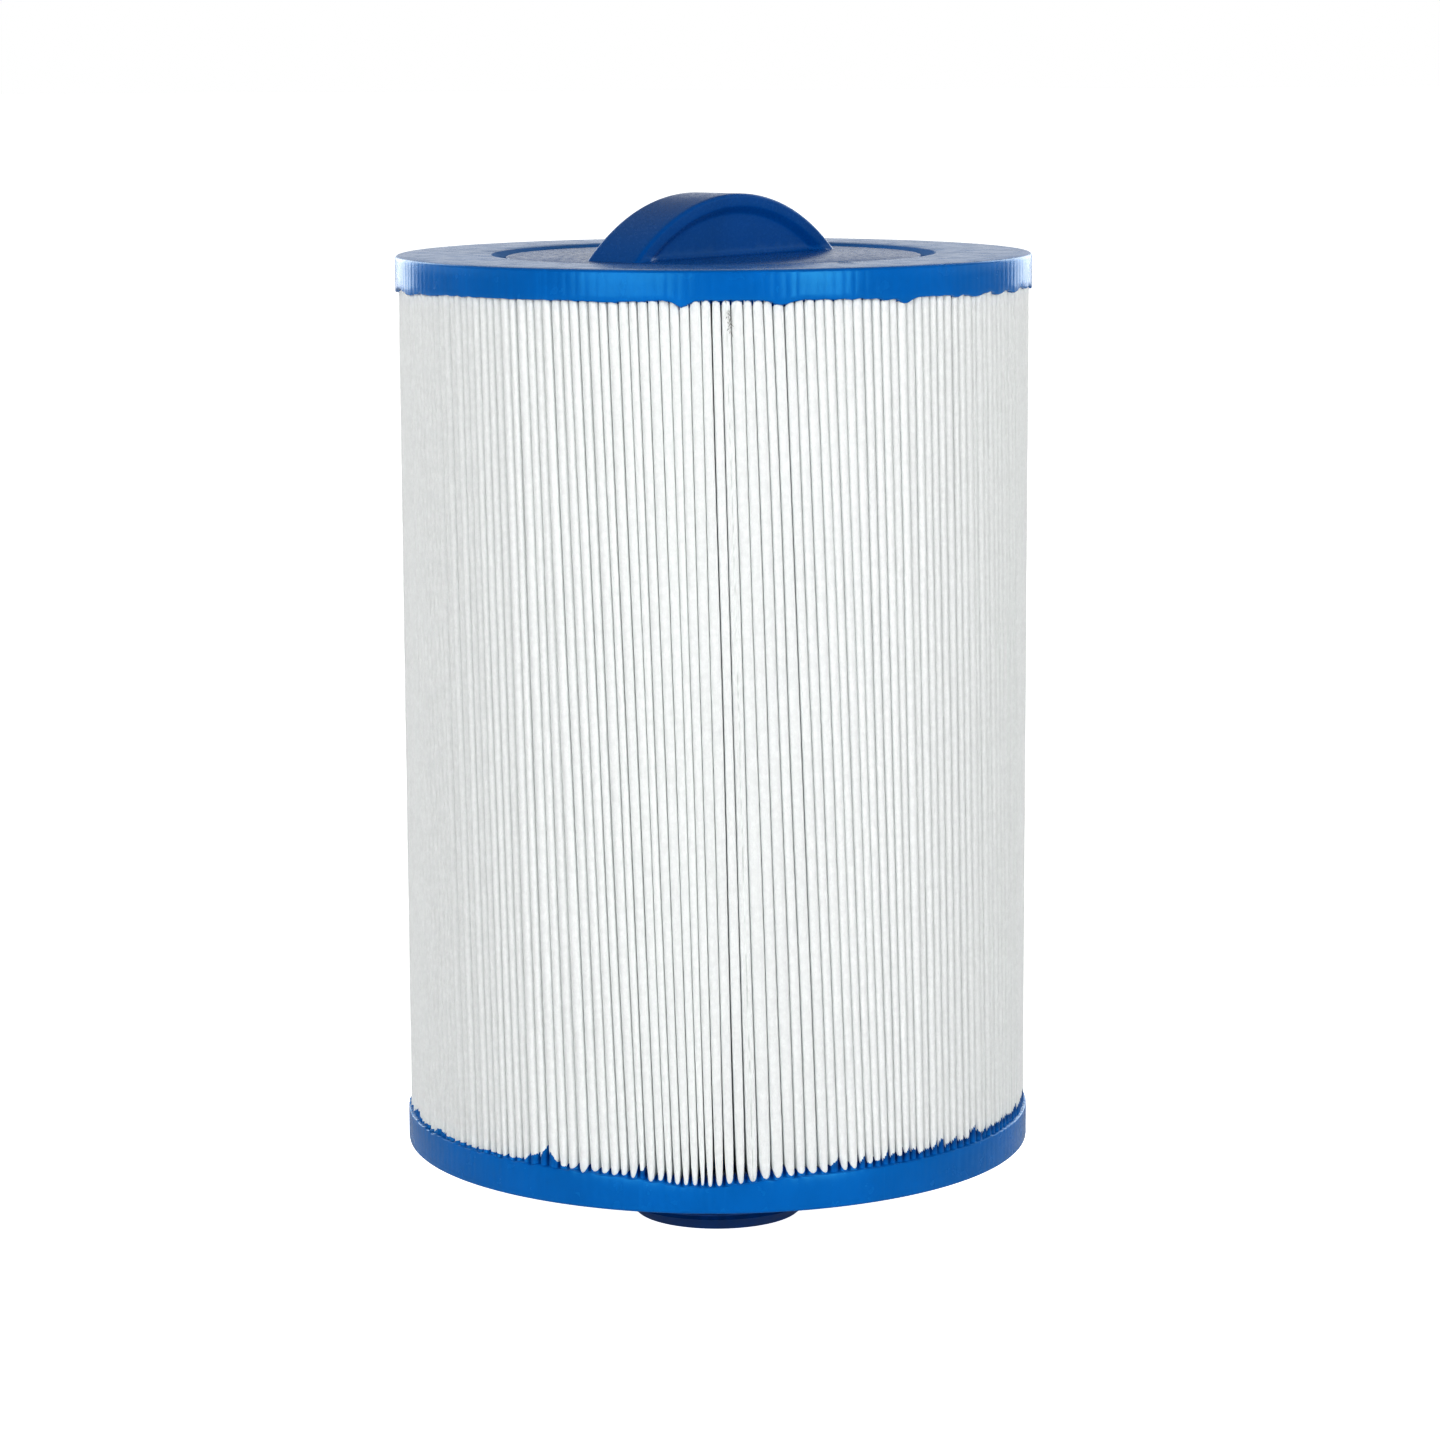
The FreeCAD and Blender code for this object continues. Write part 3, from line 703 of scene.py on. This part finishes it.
# Eight upright lines to a pleat, from the middle of one gap to the next: their places, how far
# they stand behind the fold's tip in millimetres, and how deep in the gap they are.
LINE_SHARES = (0.0, 0.09, 0.2, 0.34, 0.5, 0.66, 0.8, 0.91)
LINE_DROPS = (1.25, 0.8, 0.30, 0.07, 0.0, 0.07, 0.30, 0.8)
LINE_FILLS = (1.0, 0.86, 0.45, 0.12, 0.0, 0.12, 0.45, 0.86)

# Lumps of resin that climbed the bottom folds: azimuth in degrees, height in mm, width in degrees.
BOTTOM_LUMPS = (
    (-31.8, 4.6, 1.75), (-35.0, 2.8, 1.4), (-38.5, 1.2, 0.9), (-13.6, 2.7, 0.9),
    (21.4, 3.3, 0.95), (26.4, 3.4, 1.05), (32.0, 2.6, 1.2), (36.8, 3.0, 1.2), (43.8, 3.8, 1.3),
    (48.2, 2.6, 1.2), (53.8, 4.6, 1.5), (59.0, 2.8, 1.6), (-62.0, 1.4, 2.6), (-76.0, 2.2, 3.0),
    (66.0, 3.3, 3.0), (74.0, 3.7, 3.0), (80.0, 4.1, 3.0), (87.0, 4.6, 4.0))
# Drips under the top cap's edge, in the same measures.
TOP_DRIPS = (
    (-5.4, 1.35, 1.5), (11.6, 1.0, 2.0), (35.0, 1.25, 1.5), (31.0, 0.4, 2.0), (52.4, 0.8, 2.2),
    (47.0, 0.5, 1.2), (60.5, 0.9, 1.8), (67.5, 0.9, 2.2), (-86.0, 1.5, 5.0), (-70.0, 1.0, 4.5),
    (-60.0, 0.5, 3.0), (86.0, 1.4, 4.0), (-18.0, 0.35, 5.0), (76.0, 0.6, 2.5))


class ResinEdge:
    """The uneven edge of a cast cap, line by line round the cartridge."""

    def __init__(self, height):
        self.layout = pleat_layout()
        self.gaps, _ = self.layout.at(height)
        self.steps = self.layout.count * len(LINE_SHARES)

    def line(self, index):
        """(azimuth, pleat, place in the pleat) of one upright line."""
        count = self.layout.count
        pleat, part = divmod(index % self.steps, len(LINE_SHARES))
        low = self.gaps[pleat - 1] - (math.tau if pleat == 0 else 0.0)
        width = self.gaps[pleat] - low
        return low + LINE_SHARES[part] * width, pleat % count, part

# The bottom cap's outline in millimetres: radius, height, and the share of the climb for the rows
# that meet the folds. A row with a share is set out from the folds' own contour.
FOOT = 19.2
EDGE_LEVEL = 8.3
CAP_REACH = 74.985
WALL_REACH = 74.7
BOTTOM_ROWS = (
    (38.0, FOOT, None), (60.0, FOOT, None), (74.2, FOOT, None), (74.6, FOOT + 0.11, None),
    (74.89, FOOT + 0.4, None), (75.0, FOOT + 0.8, None), (75.0, FOOT + 3.0, None),
    (75.0, FOOT + 5.2, "side"), (75.0, FOOT + 8.0, "edge"), (74.93, FOOT + 8.2, "edge"),
    (74.78, FOOT + EDGE_LEVEL, "edge"), (0.16, 0.05, "wall"), (0.07, 0.45, "wall"),
    (-0.03, 0.8, "wall"), (-0.22, 1.0, "wall"), (-0.75, 1.06, "wall"), (-2.6, 1.0, "wall"),
    (66.0, 28.4, None), (50.0, 28.3, None), (29.02, 28.2, None), (29.02, 22.2, None),
    (38.0, 22.2, None))


def bottom_level(degrees):
    """Height of the bottom cap's outer edge over its foot, in millimetres."""
    level = 8.25 - 1.95 * hump(degrees, -2.5, 10.5)
    ragged = 0.34 if degrees < 22 else 0.10
    if abs(degrees) > 95:
        level = 8.6
    return level + ragged * ripple(degrees * 0.55, 0.0, 4.0) * 1.3


def bottom_climb(edge, degrees, pleat, part):
    """How far the resin has climbed the folds at one line, in millimetres."""
    right = smooth_step(degrees, 22, 33) * (1 - smooth_step(degrees, 120, 150))
    centre = hump(degrees, 0, 15)
    left = 1 - smooth_step(degrees, -40, -20)
    tip = 0.22 + 2.3 * right + 0.45 * left + edge.layout.film[pleat] * (0.22 + 0.2 * left)
    gap = 1.3 + 0.75 * centre + 1.9 * right - 0.7 * left
    gap *= edge.layout.climb[pleat if part < 5 else (pleat + 1) % edge.layout.count]
    lump = heaped(BOTTOM_LUMPS, degrees, blob)
    fill = LINE_FILLS[part]
    usual = max(0.08, tip * (1 - fill) + gap * fill)
    return math.hypot(usual, lump * (0.94 + 0.06 * fill))


def shaped_cap(rows, height, level, climb, sign, extra=None):
    """A cap spun from its outline, with its edge and the resin between the folds shaped, and
    painted shade laid on that resin.
    """
    edge = ResinEdge(height)
    bm = spun_profile([(0.1 + i, 0.0) for i in range(len(rows))], edge.steps)
    pocket_painted_shade = bm.verts.layers.float.new("pocket_painted_shade")
    matt = bm.verts.layers.float.new("matt")
    lines = []
    for index in range(edge.steps):
        azimuth, pleat, part = edge.line(index)
        degrees = signed_degrees(azimuth)
        lines.append((azimuth, degrees, pleat, part, level(degrees),
                      climb(edge, degrees, pleat, part)))
    for vert in bm.verts:
        row = round(math.hypot(vert.co.x, vert.co.y) - 0.1)
        turn = math.atan2(vert.co.x, -vert.co.y) / math.tau
        index = round(turn * edge.steps) % edge.steps
        azimuth, degrees, pleat, part, rise, grown = lines[index]
        radius, z, kind = rows[row]
        if kind in ("side", "edge"):
            change = rise - EDGE_LEVEL if sign > 0 else rise
            z += change if kind == "edge" else 0.5 * change
        if kind in ("side", "edge") or (kind is None and radius > 74.95):
            radius -= 0.022 + 0.022 * math.cos(math.tau * LINE_SHARES[part]) * (
                1 + ripple(degrees * 0.8, z * 0.2, 6.0))
            radius = min(radius + 0.02 * ripple(degrees * 0.5, z * 0.5, 8.0), CAP_REACH)
        if kind == "wall":
            share = z
            contour = edge.layout.tip_radius(pleat) / MM + 0.19 - LINE_DROPS[part]
            radius = min(contour + radius, WALL_REACH)
            foot = FOOT + rise if sign > 0 else TOP_LOW.z / MM + rise
            z = foot + sign * grown * share
            z += 0.10 * share * ripple(degrees * 1.1, share * 2, 12.0)
            # Painted shade in the resin between the folds: darker deeper in the gaps and up the
            # tall climbs, and weaker towards the left side.
            depth = smooth_step(LINE_FILLS[part], 0.2, 0.95)
            painted_shade_by_side = 0.2 + 0.8 * smooth_step(degrees, -45, -15)
            tall_painted_shade = 0.55 * smooth_step(grown, 1.2, 2.6) * smooth_step(share, 0.0, 0.4)
            low_painted_shade = 0.85 * depth * smooth_step(share, 0.0, 0.5)
            vert[pocket_painted_shade] = painted_shade_by_side * min(1.0, tall_painted_shade + low_painted_shade)
        if extra:
            radius, z, vert[matt] = extra(row, degrees, radius, z)
        vert.co = on_round(radius * MM, azimuth, z * MM)
    bmesh.ops.recalc_face_normals(bm, faces=bm.faces)
    return bm


# The top cap's outline, in the same measures, from the ring round the insert outwards.
RIM = 232.2
TOP_ROWS = (
    (52.5, RIM, None), (60.0, RIM, None), (68.0, RIM, None), (74.2, RIM, None),
    (74.6, RIM - 0.11, None), (74.89, RIM - 0.4, None), (75.0, RIM - 0.8, None),
    (75.0, RIM - 3.0, None), (75.0, 226.6, "side"), (75.0, 225.35, "edge"),
    (74.93, 225.12, "edge"), (74.78, 225.0, "edge"), (0.14, 0.05, "wall"), (0.04, 0.5, "wall"),
    (-0.14, 0.9, "wall"), (-0.5, 1.0, "wall"), (-2.6, 1.0, "wall"), (66.0, 224.7, None),
    (50.0, 224.9, None), (29.02, 225.0, None), (29.02, 229.2, None), (53.0, 229.2, None),
    (53.0, 230.42, None), (49.02, 230.42, None), (49.03, 231.0, None), (49.6, 231.16, None),
    (50.7, 231.5, None), (52.0, 232.0, None))
GROOVE_ROWS = (23, 24, 25, 26, 27)
RING_ROW = 0
FLASH = (32.8, 0.7)   # azimuth and width in degrees of the fleck of flash on the ring


def top_level(degrees):
    """How far the top cap's lower edge stands from its usual level, in millimetres."""
    level = 0.45 * hump(degrees, 0, 30) + 0.15
    drip = heaped(TOP_DRIPS, degrees, hump)
    if abs(degrees) > 100:
        drip = 0.7 * max(0.0, ripple(degrees * 0.16, 3.0, 1.0))
    return level - drip + 0.22 * ripple(degrees * 0.6, 9.0, 4.0)


def top_climb(edge, degrees, pleat, part):
    """How far the resin has run down the folds under the top cap, in millimetres."""
    centre = hump(degrees, 2, 16)
    gap = (0.35 + 0.75 * centre) * edge.layout.climb[pleat if part < 5 else pleat - 1]
    fill = LINE_FILLS[part]
    return max(0.04, 0.08 * (1 - fill) + gap * fill)


def top_ring(row, degrees, radius, z):
    """Marks on the ring round the insert: flash on its edge and a matt groove."""
    if row == RING_ROW:
        z += 0.32 * hump(degrees, *FLASH) + 0.07 * max(0.0, ripple(degrees * 0.9, 0.0, 5.0))
        radius += 0.10 * ripple(degrees * 0.25, 2.0, 7.0)
    if row == GROOVE_ROWS[-1]:
        z += 0.2 * hump(degrees, *FLASH)
        radius += 0.08 * ripple(degrees * 0.4, 4.0, 7.0)
    return radius, z, 0.35 if row in GROOVE_ROWS else 0.0


class CARTRIDGE_OT_cast_caps(bpy.types.Operator):
    """Cast the top and bottom end caps round the cloth's ends"""

    bl_idname = "cartridge.cast_caps"
    bl_label = "Cast end caps"

    def execute(self, context):
        resin = cast_resin()
        bottom = shaped_cap(
            BOTTOM_ROWS, BOTTOM_HIGH.z, bottom_level, bottom_climb, 1)
        top = shaped_cap(TOP_ROWS, TOP_LOW.z, top_level, top_climb, -1, top_ring)
        pieces = [
            make_piece("cast_bottom_cap", bottom, resin, "cast_resin", "bottom_end_cap"),
            make_piece("cast_top_cap", top, resin, "cast_resin", "top_end_cap")]
        for piece in pieces:
            piece.data.set_sharp_from_angle(angle=math.radians(50))
        return {"FINISHED"}


# ---------------------------------------------------------------- handle insert

# The plate's outline and the grip's rows, in millimetres.
PLATE_TOP = 231.7
PLATE_OUTLINE = (
    (0.0, PLATE_TOP), (20.0, PLATE_TOP), (48.5, PLATE_TOP), (48.85, PLATE_TOP - 0.12),
    (48.98, PLATE_TOP - 0.45), (48.98, 230.4), (52.95, 230.4), (52.95, 229.22), (26.45, 229.22),
    (26.45, 221.7), (25.95, 221.2), (23.95, 221.2), (23.45, 221.7), (23.45, 229.25),
    (0.0, 229.25))
PANEL_RADIUS = 51.35
LIP_RADIUS = 53.1
PANEL_DEPTH = 1.2
LIP_EDGE = 0.8
FILLET = 1.35
FILLET_ROWS = (-0.25, 0.0, 0.08, 0.25, 0.5, 0.85, FILLET)
PANEL_LEVELS = (43.5, 45.5, 47.5, 49.5, 50.9, 51.2, PANEL_RADIUS, 51.6, 52.2, 52.8, 53.0,
                LIP_RADIUS, 53.35, 54.2, 55.0)
EDGE_TURNS = (0.0, 22.5, 45.0, 67.5, 90.0)
CROWN_SHARES = (0.8, 0.5, 0.2, 0.0)
GRIP_STEPS = 96
GRIP_DIP = 0.3   # how far under the plate's face the grip's arc runs out
PLATE_STEPS = 256


def grip_side(radius, half_width):
    """Half the grip's width at a radius from its own axis, in millimetres."""
    panel = half_width - PANEL_DEPTH
    rise = smooth_step(radius, PANEL_RADIUS - 0.25, LIP_RADIUS + 0.2)
    return panel + (half_width - panel) * rise


def grip_section(outer, half_width):
    """Rows of one side of the grip, from under the plate up to the middle of its crown."""
    rows = [("fillet", lift, None) for lift in FILLET_ROWS]
    rows += [("side", level, None) for level in PANEL_LEVELS]
    for turn in EDGE_TURNS:
        angle = math.radians(turn)
        rows.append(("crown", outer - LIP_EDGE * (1 - math.sin(angle)),
                     half_width - LIP_EDGE * (1 - math.cos(angle))))
    rows += [("crown", outer, half_width * share) for share in CROWN_SHARES]
    return rows


def grip_shell(handle):
    """The half-moon grip as a closed shell that reaches a little into the plate."""
    outer, half_width = handle.arc_radius / MM, handle.width / MM / 2
    sunk = outer - handle.height / MM
    end = math.acos((sunk - GRIP_DIP) / outer)
    rows = grip_section(outer, half_width)
    rows = [(*row, -1) for row in rows] + [(*row, 1) for row in rows[-2::-1]]
    bm = bmesh.new()
    bmesh.ops.create_grid(bm, x_segments=GRIP_STEPS, y_segments=len(rows) - 1, size=0.5)
    turn = Matrix.Rotation(handle.turn, 4, "Z")
    for vert in bm.verts:
        angle = end * math.sin(vert.co.x * math.pi)
        kind, level, width, side = rows[round((vert.co.y + 0.5) * (len(rows) - 1))]
        foot = sunk / math.cos(angle)
        if kind == "fillet":
            radius = min(foot + level / math.cos(angle), outer - LIP_EDGE)
        elif kind == "side":
            radius = min(max(level, foot + FILLET / math.cos(angle)), outer - LIP_EDGE)
        else:
            radius = level
        radius = min(max(radius, foot - 0.25 / math.cos(angle)), outer)
        lift = max(radius * math.cos(angle) - sunk, 0.0)
        across = grip_side(radius, half_width)
        if kind == "crown":
            across = width
        elif radius > outer - LIP_EDGE:
            over = (radius - outer + LIP_EDGE) / LIP_EDGE
            across = half_width - LIP_EDGE * (1 - math.sqrt(max(0.0, 1 - over * over)))
        if lift < FILLET:
            room = smooth_step(outer * math.cos(angle) - sunk, 0.2, 3.5)
            across += room * FILLET * (1 - math.sqrt(1 - (1 - lift / FILLET) ** 2)) * 0.85
        height = PLATE_TOP + radius * math.cos(angle) - sunk
        if kind == "fillet" and level < 0:
            height = PLATE_TOP - 0.8
        place = Vector((radius * math.sin(angle), side * across, height)) * MM
        vert.co = turn @ place
    bmesh.ops.remove_doubles(bm, verts=bm.verts, dist=0.004 * MM)
    rim = [edge for edge in bm.edges if edge.is_boundary]
    bmesh.ops.holes_fill(bm, edges=rim, sides=0)
    bmesh.ops.recalc_face_normals(bm, faces=bm.faces)
    return bm


def insert_plate():
    """The round plate with its hidden rim and the spigot that centres the core."""
    bm = bmesh.new()
    line = [bm.verts.new(on_round(r * MM, 0.0, z * MM)) for r, z in PLATE_OUTLINE]
    edges = [bm.edges.new(pair) for pair in zip(line, line[1:])]
    turned(bm, line + edges, PLATE_STEPS)
    bmesh.ops.remove_doubles(bm, verts=bm.verts, dist=0.004 * MM)
    bmesh.ops.recalc_face_normals(bm, faces=bm.faces)
    return bm


class CARTRIDGE_OT_handle_insert(bpy.types.Operator):
    """Mould the plate and its half-moon grip in one"""

    bl_idname = "cartridge.handle_insert"
    bl_label = "Handle insert"

    def execute(self, context):
        handle = context.scene.cartridge_handle
        piece = make_piece(
            "moulded_handle", insert_plate(), handle_plastic(), "handle_plastic",
            "handle_insert")
        tool = put_in_scene("grip", mesh_from("grip", grip_shell(handle)))
        joined = piece.modifiers.new("joined", "BOOLEAN")
        joined.operation = "UNION"
        joined.solver = "EXACT"
        joined.object = tool
        context.view_layer.update()
        evaluated = piece.evaluated_get(context.evaluated_depsgraph_get())
        mesh = bpy.data.meshes.new_from_object(evaluated)
        piece.modifiers.clear()
        bpy.data.objects.remove(tool)
        if len(mesh.polygons) < GRIP_STEPS * 20:
            raise RuntimeError("the grip didn't join its plate")
        piece.data = mesh
        for face in mesh.polygons:
            face.use_smooth = abs(face.normal.z) < 0.9995
        mesh.set_sharp_from_angle(angle=math.radians(38))
        return {"FINISHED"}


class CARTRIDGE_OT_core_and_outlet(bpy.types.Operator):
    """Give the core and the threaded outlet their plastics"""

    bl_idname = "cartridge.core_and_outlet"
    bl_label = "Core and outlet"

    def execute(self, context):
        for name, material in (
                ("centre_core", core_plastic()), ("threaded_outlet", outlet_plastic())):
            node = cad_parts[name]
            if not node.material_slots:
                raise RuntimeError(f"{name} has no material slot")
            for place in node.material_slots:
                place.material = material
        return {"FINISHED"}


# ---------------------------------------------------------------- stage


# The surroundings' brightness by the Z of their direction, held under 0 (level); their strength
# by its Y, which points to the back; and the share of it that lights matt surfaces.
SKY_STOPS = ((0.0, 0.9), (0.19, 0.9), (0.32, 0.37), (0.6, 0.26), (1.0, 0.22))
SKY_SIDES = {"From Min": -0.5, "From Max": 0.2, "To Min": 0.4, "To Max": 1.22}
SKY_SHARE = {"To Min": 1.0, "To Max": 0.8}
# The soft lights: name, azimuth in degrees, width in metres, power in watts.
SOFTBOXES = (
    ("left_softbox", -30, 1.1, 19.0), ("right_softbox", 37, 0.6, 16.5),
    ("left_back_softbox", -148, 0.9, 9.0), ("right_back_softbox", 148, 0.9, 9.0))
SOFTBOX_DISTANCE, SOFTBOX_HEIGHT, SOFTBOX_TALL = 1.7, 0.62, 1.2
AIM = Vector((0, 0, 0.12))
CAMERA_SHIFT = 0.003


def pale_floor():
    """A plain matt floor, almost white."""
    finish = Finish("pale_floor", 0.9, 0.1)
    cloud = finish.ranged(finish.grain(3.0, 2.0), 0.3, 0.7)
    finish.colour(finish.blend(cloud, (0.74, 0.74, 0.74), (0.76, 0.76, 0.76)))
    finish.shader.inputs["Emission Color"].default_value = (1, 1, 1, 1)
    seen = finish.node("ShaderNodeLightPath").outputs["Is Camera Ray"]
    finish.tree.links.new(
        finish.ranged(seen, 0.0, 1.0, 0.05, 1.0), finish.shader.inputs["Emission Strength"])
    return finish.material


def studio_surround():
    """Surroundings that light it brightly round the horizon, and look plain white."""
    world = bpy.data.worlds.new("studio")
    world.use_nodes = True
    tree = world.node_tree
    tree.nodes.clear()
    place = tree.nodes.new("ShaderNodeTexCoord")
    split = tree.nodes.new("ShaderNodeSeparateXYZ")
    ramp = tree.nodes.new("ShaderNodeValToRGB")
    sky = tree.nodes.new("ShaderNodeBackground")
    backdrop = tree.nodes.new("ShaderNodeBackground")
    backdrop.inputs["Color"].default_value = (1.0, 1.0, 1.0, 1.0)
    seen = tree.nodes.new("ShaderNodeMixShader")
    out = tree.nodes.new("ShaderNodeOutputWorld")
    path = tree.nodes.new("ShaderNodeLightPath")
    dim = tree.nodes.new("ShaderNodeMapRange")
    side = tree.nodes.new("ShaderNodeMapRange")
    for node, values in ((dim, SKY_SHARE), (side, SKY_SIDES)):
        for name, value in values.items():
            node.inputs[name].default_value = value
    joined = tree.nodes.new("ShaderNodeMath")
    joined.operation = "MULTIPLY"
    for output, socket in (
            (path.outputs["Is Diffuse Ray"], dim.inputs["Value"]),
            (split.outputs["Y"], side.inputs["Value"]),
            (dim.outputs["Result"], joined.inputs[0]),
            (side.outputs["Result"], joined.inputs[1]),
            (joined.outputs["Value"], sky.inputs["Strength"]),
            (place.outputs["Generated"], split.inputs["Vector"]),
            (split.outputs["Z"], ramp.inputs["Fac"]),
            (ramp.outputs["Color"], sky.inputs["Color"]),
            (path.outputs["Is Camera Ray"], seen.inputs["Fac"]),
            (sky.outputs["Background"], seen.inputs[1]),
            (backdrop.outputs["Background"], seen.inputs[2]),
            (seen.outputs["Shader"], out.inputs["Surface"])):
        tree.links.new(output, socket)
    elements = ramp.color_ramp.elements
    while len(elements) < len(SKY_STOPS):
        elements.new(0.5)
    for element, (spot, level) in zip(elements, SKY_STOPS):
        element.position = spot
        element.color = (level, level, level, 1.0)
    bpy.context.scene.world = world


def softbox(name, azimuth, width, power):
    """A large soft light that looks at the middle of the cartridge."""
    light = bpy.data.lights.new(name, "AREA")
    light.shape = "RECTANGLE"
    light.size = width
    light.size_y = SOFTBOX_TALL
    light.energy = power
    lamp = put_in_scene(name, light)
    lamp.location = on_round(SOFTBOX_DISTANCE, math.radians(azimuth), SOFTBOX_HEIGHT)
    aim = AIM - lamp.location
    lamp.rotation_euler = aim.to_track_quat("-Z", "Y").to_euler()


def stand_camera(stage):
    """The camera in front of the cartridge, a little above it."""
    camera = bpy.data.cameras.new("camera")
    camera.lens = stage.lens
    camera.sensor_width = 36.0
    camera.shift_x = CAMERA_SHIFT
    camera.clip_start = 0.05
    camera.clip_end = 100.0
    eye = put_in_scene("camera", camera)
    tilt = Matrix.Rotation(math.pi / 2 - stage.camera_pitch, 4, "X")
    turn = Matrix.Rotation(stage.camera_roll, 4, "Z")
    eye.matrix_world = (
        Matrix.Translation((0, -stage.camera_distance, stage.camera_height)) @ tilt @ turn)
    bpy.context.scene.camera = eye


class CARTRIDGE_OT_stage(bpy.types.Operator):
    """Set up the floor, the lights and the camera"""

    bl_idname = "cartridge.stage"
    bl_label = "Stage"

    def execute(self, context):
        stage = context.scene.cartridge_stage
        bm = bmesh.new()
        bmesh.ops.create_grid(bm, x_segments=4, y_segments=4, size=stage.floor_size / 2)
        floor = put_in_scene("floor", mesh_from("floor", bm))
        floor.data.materials.append(pale_floor())
        studio_surround()
        for light in SOFTBOXES:
            softbox(*light)
        stand_camera(stage)
        context.scene.view_settings.view_transform = "Standard"
        context.scene.view_settings.gamma = 0.8
        return {"FINISHED"}


# ---------------------------------------------------------------- panel and run

BUILD_ORDER = (
    "pleated_sheet", "seam", "cast_caps", "handle_insert", "core_and_outlet", "stage")


class CARTRIDGE_PT_build(bpy.types.Panel):
    """The cartridge's pieces in the order they are built"""

    bl_label = "Filter cartridge"
    bl_idname = "CARTRIDGE_PT_build"
    bl_space_type = "VIEW_3D"
    bl_region_type = "UI"
    bl_category = "Cartridge"

    def draw(self, context):
        scene = context.scene
        for name in BUILD_ORDER:
            self.layout.operator(f"cartridge.{name}")
        for settings in (scene.cartridge_media, scene.cartridge_caps,
                         scene.cartridge_handle, scene.cartridge_stage):
            box = self.layout.box()
            for key in settings.__annotations__:
                box.prop(settings, key)


CLASSES = (
    CartridgeMediaSettings, CartridgeCapSettings, CartridgeHandleSettings,
    CartridgeStageSettings, CARTRIDGE_OT_pleated_sheet, CARTRIDGE_OT_seam,
    CARTRIDGE_OT_cast_caps, CARTRIDGE_OT_handle_insert, CARTRIDGE_OT_core_and_outlet,
    CARTRIDGE_OT_stage, CARTRIDGE_PT_build)
SETTINGS = {
    "cartridge_media": CartridgeMediaSettings,
    "cartridge_caps": CartridgeCapSettings,
    "cartridge_handle": CartridgeHandleSettings,
    "cartridge_stage": CartridgeStageSettings,
}


def register():
    """Adds the settings, the operators and the panel."""
    for cls in CLASSES:
        bpy.utils.register_class(cls)
    for name, cls in SETTINGS.items():
        setattr(bpy.types.Scene, name, PointerProperty(type=cls))


def unregister():
    """Takes everything away again that register added."""
    for name in SETTINGS:
        delattr(bpy.types.Scene, name)
    for cls in reversed(CLASSES):
        bpy.utils.unregister_class(cls)


def main():
    register()
    for name in BUILD_ORDER:
        getattr(bpy.ops.cartridge, name)()


if __name__ == "__main__":
    main()
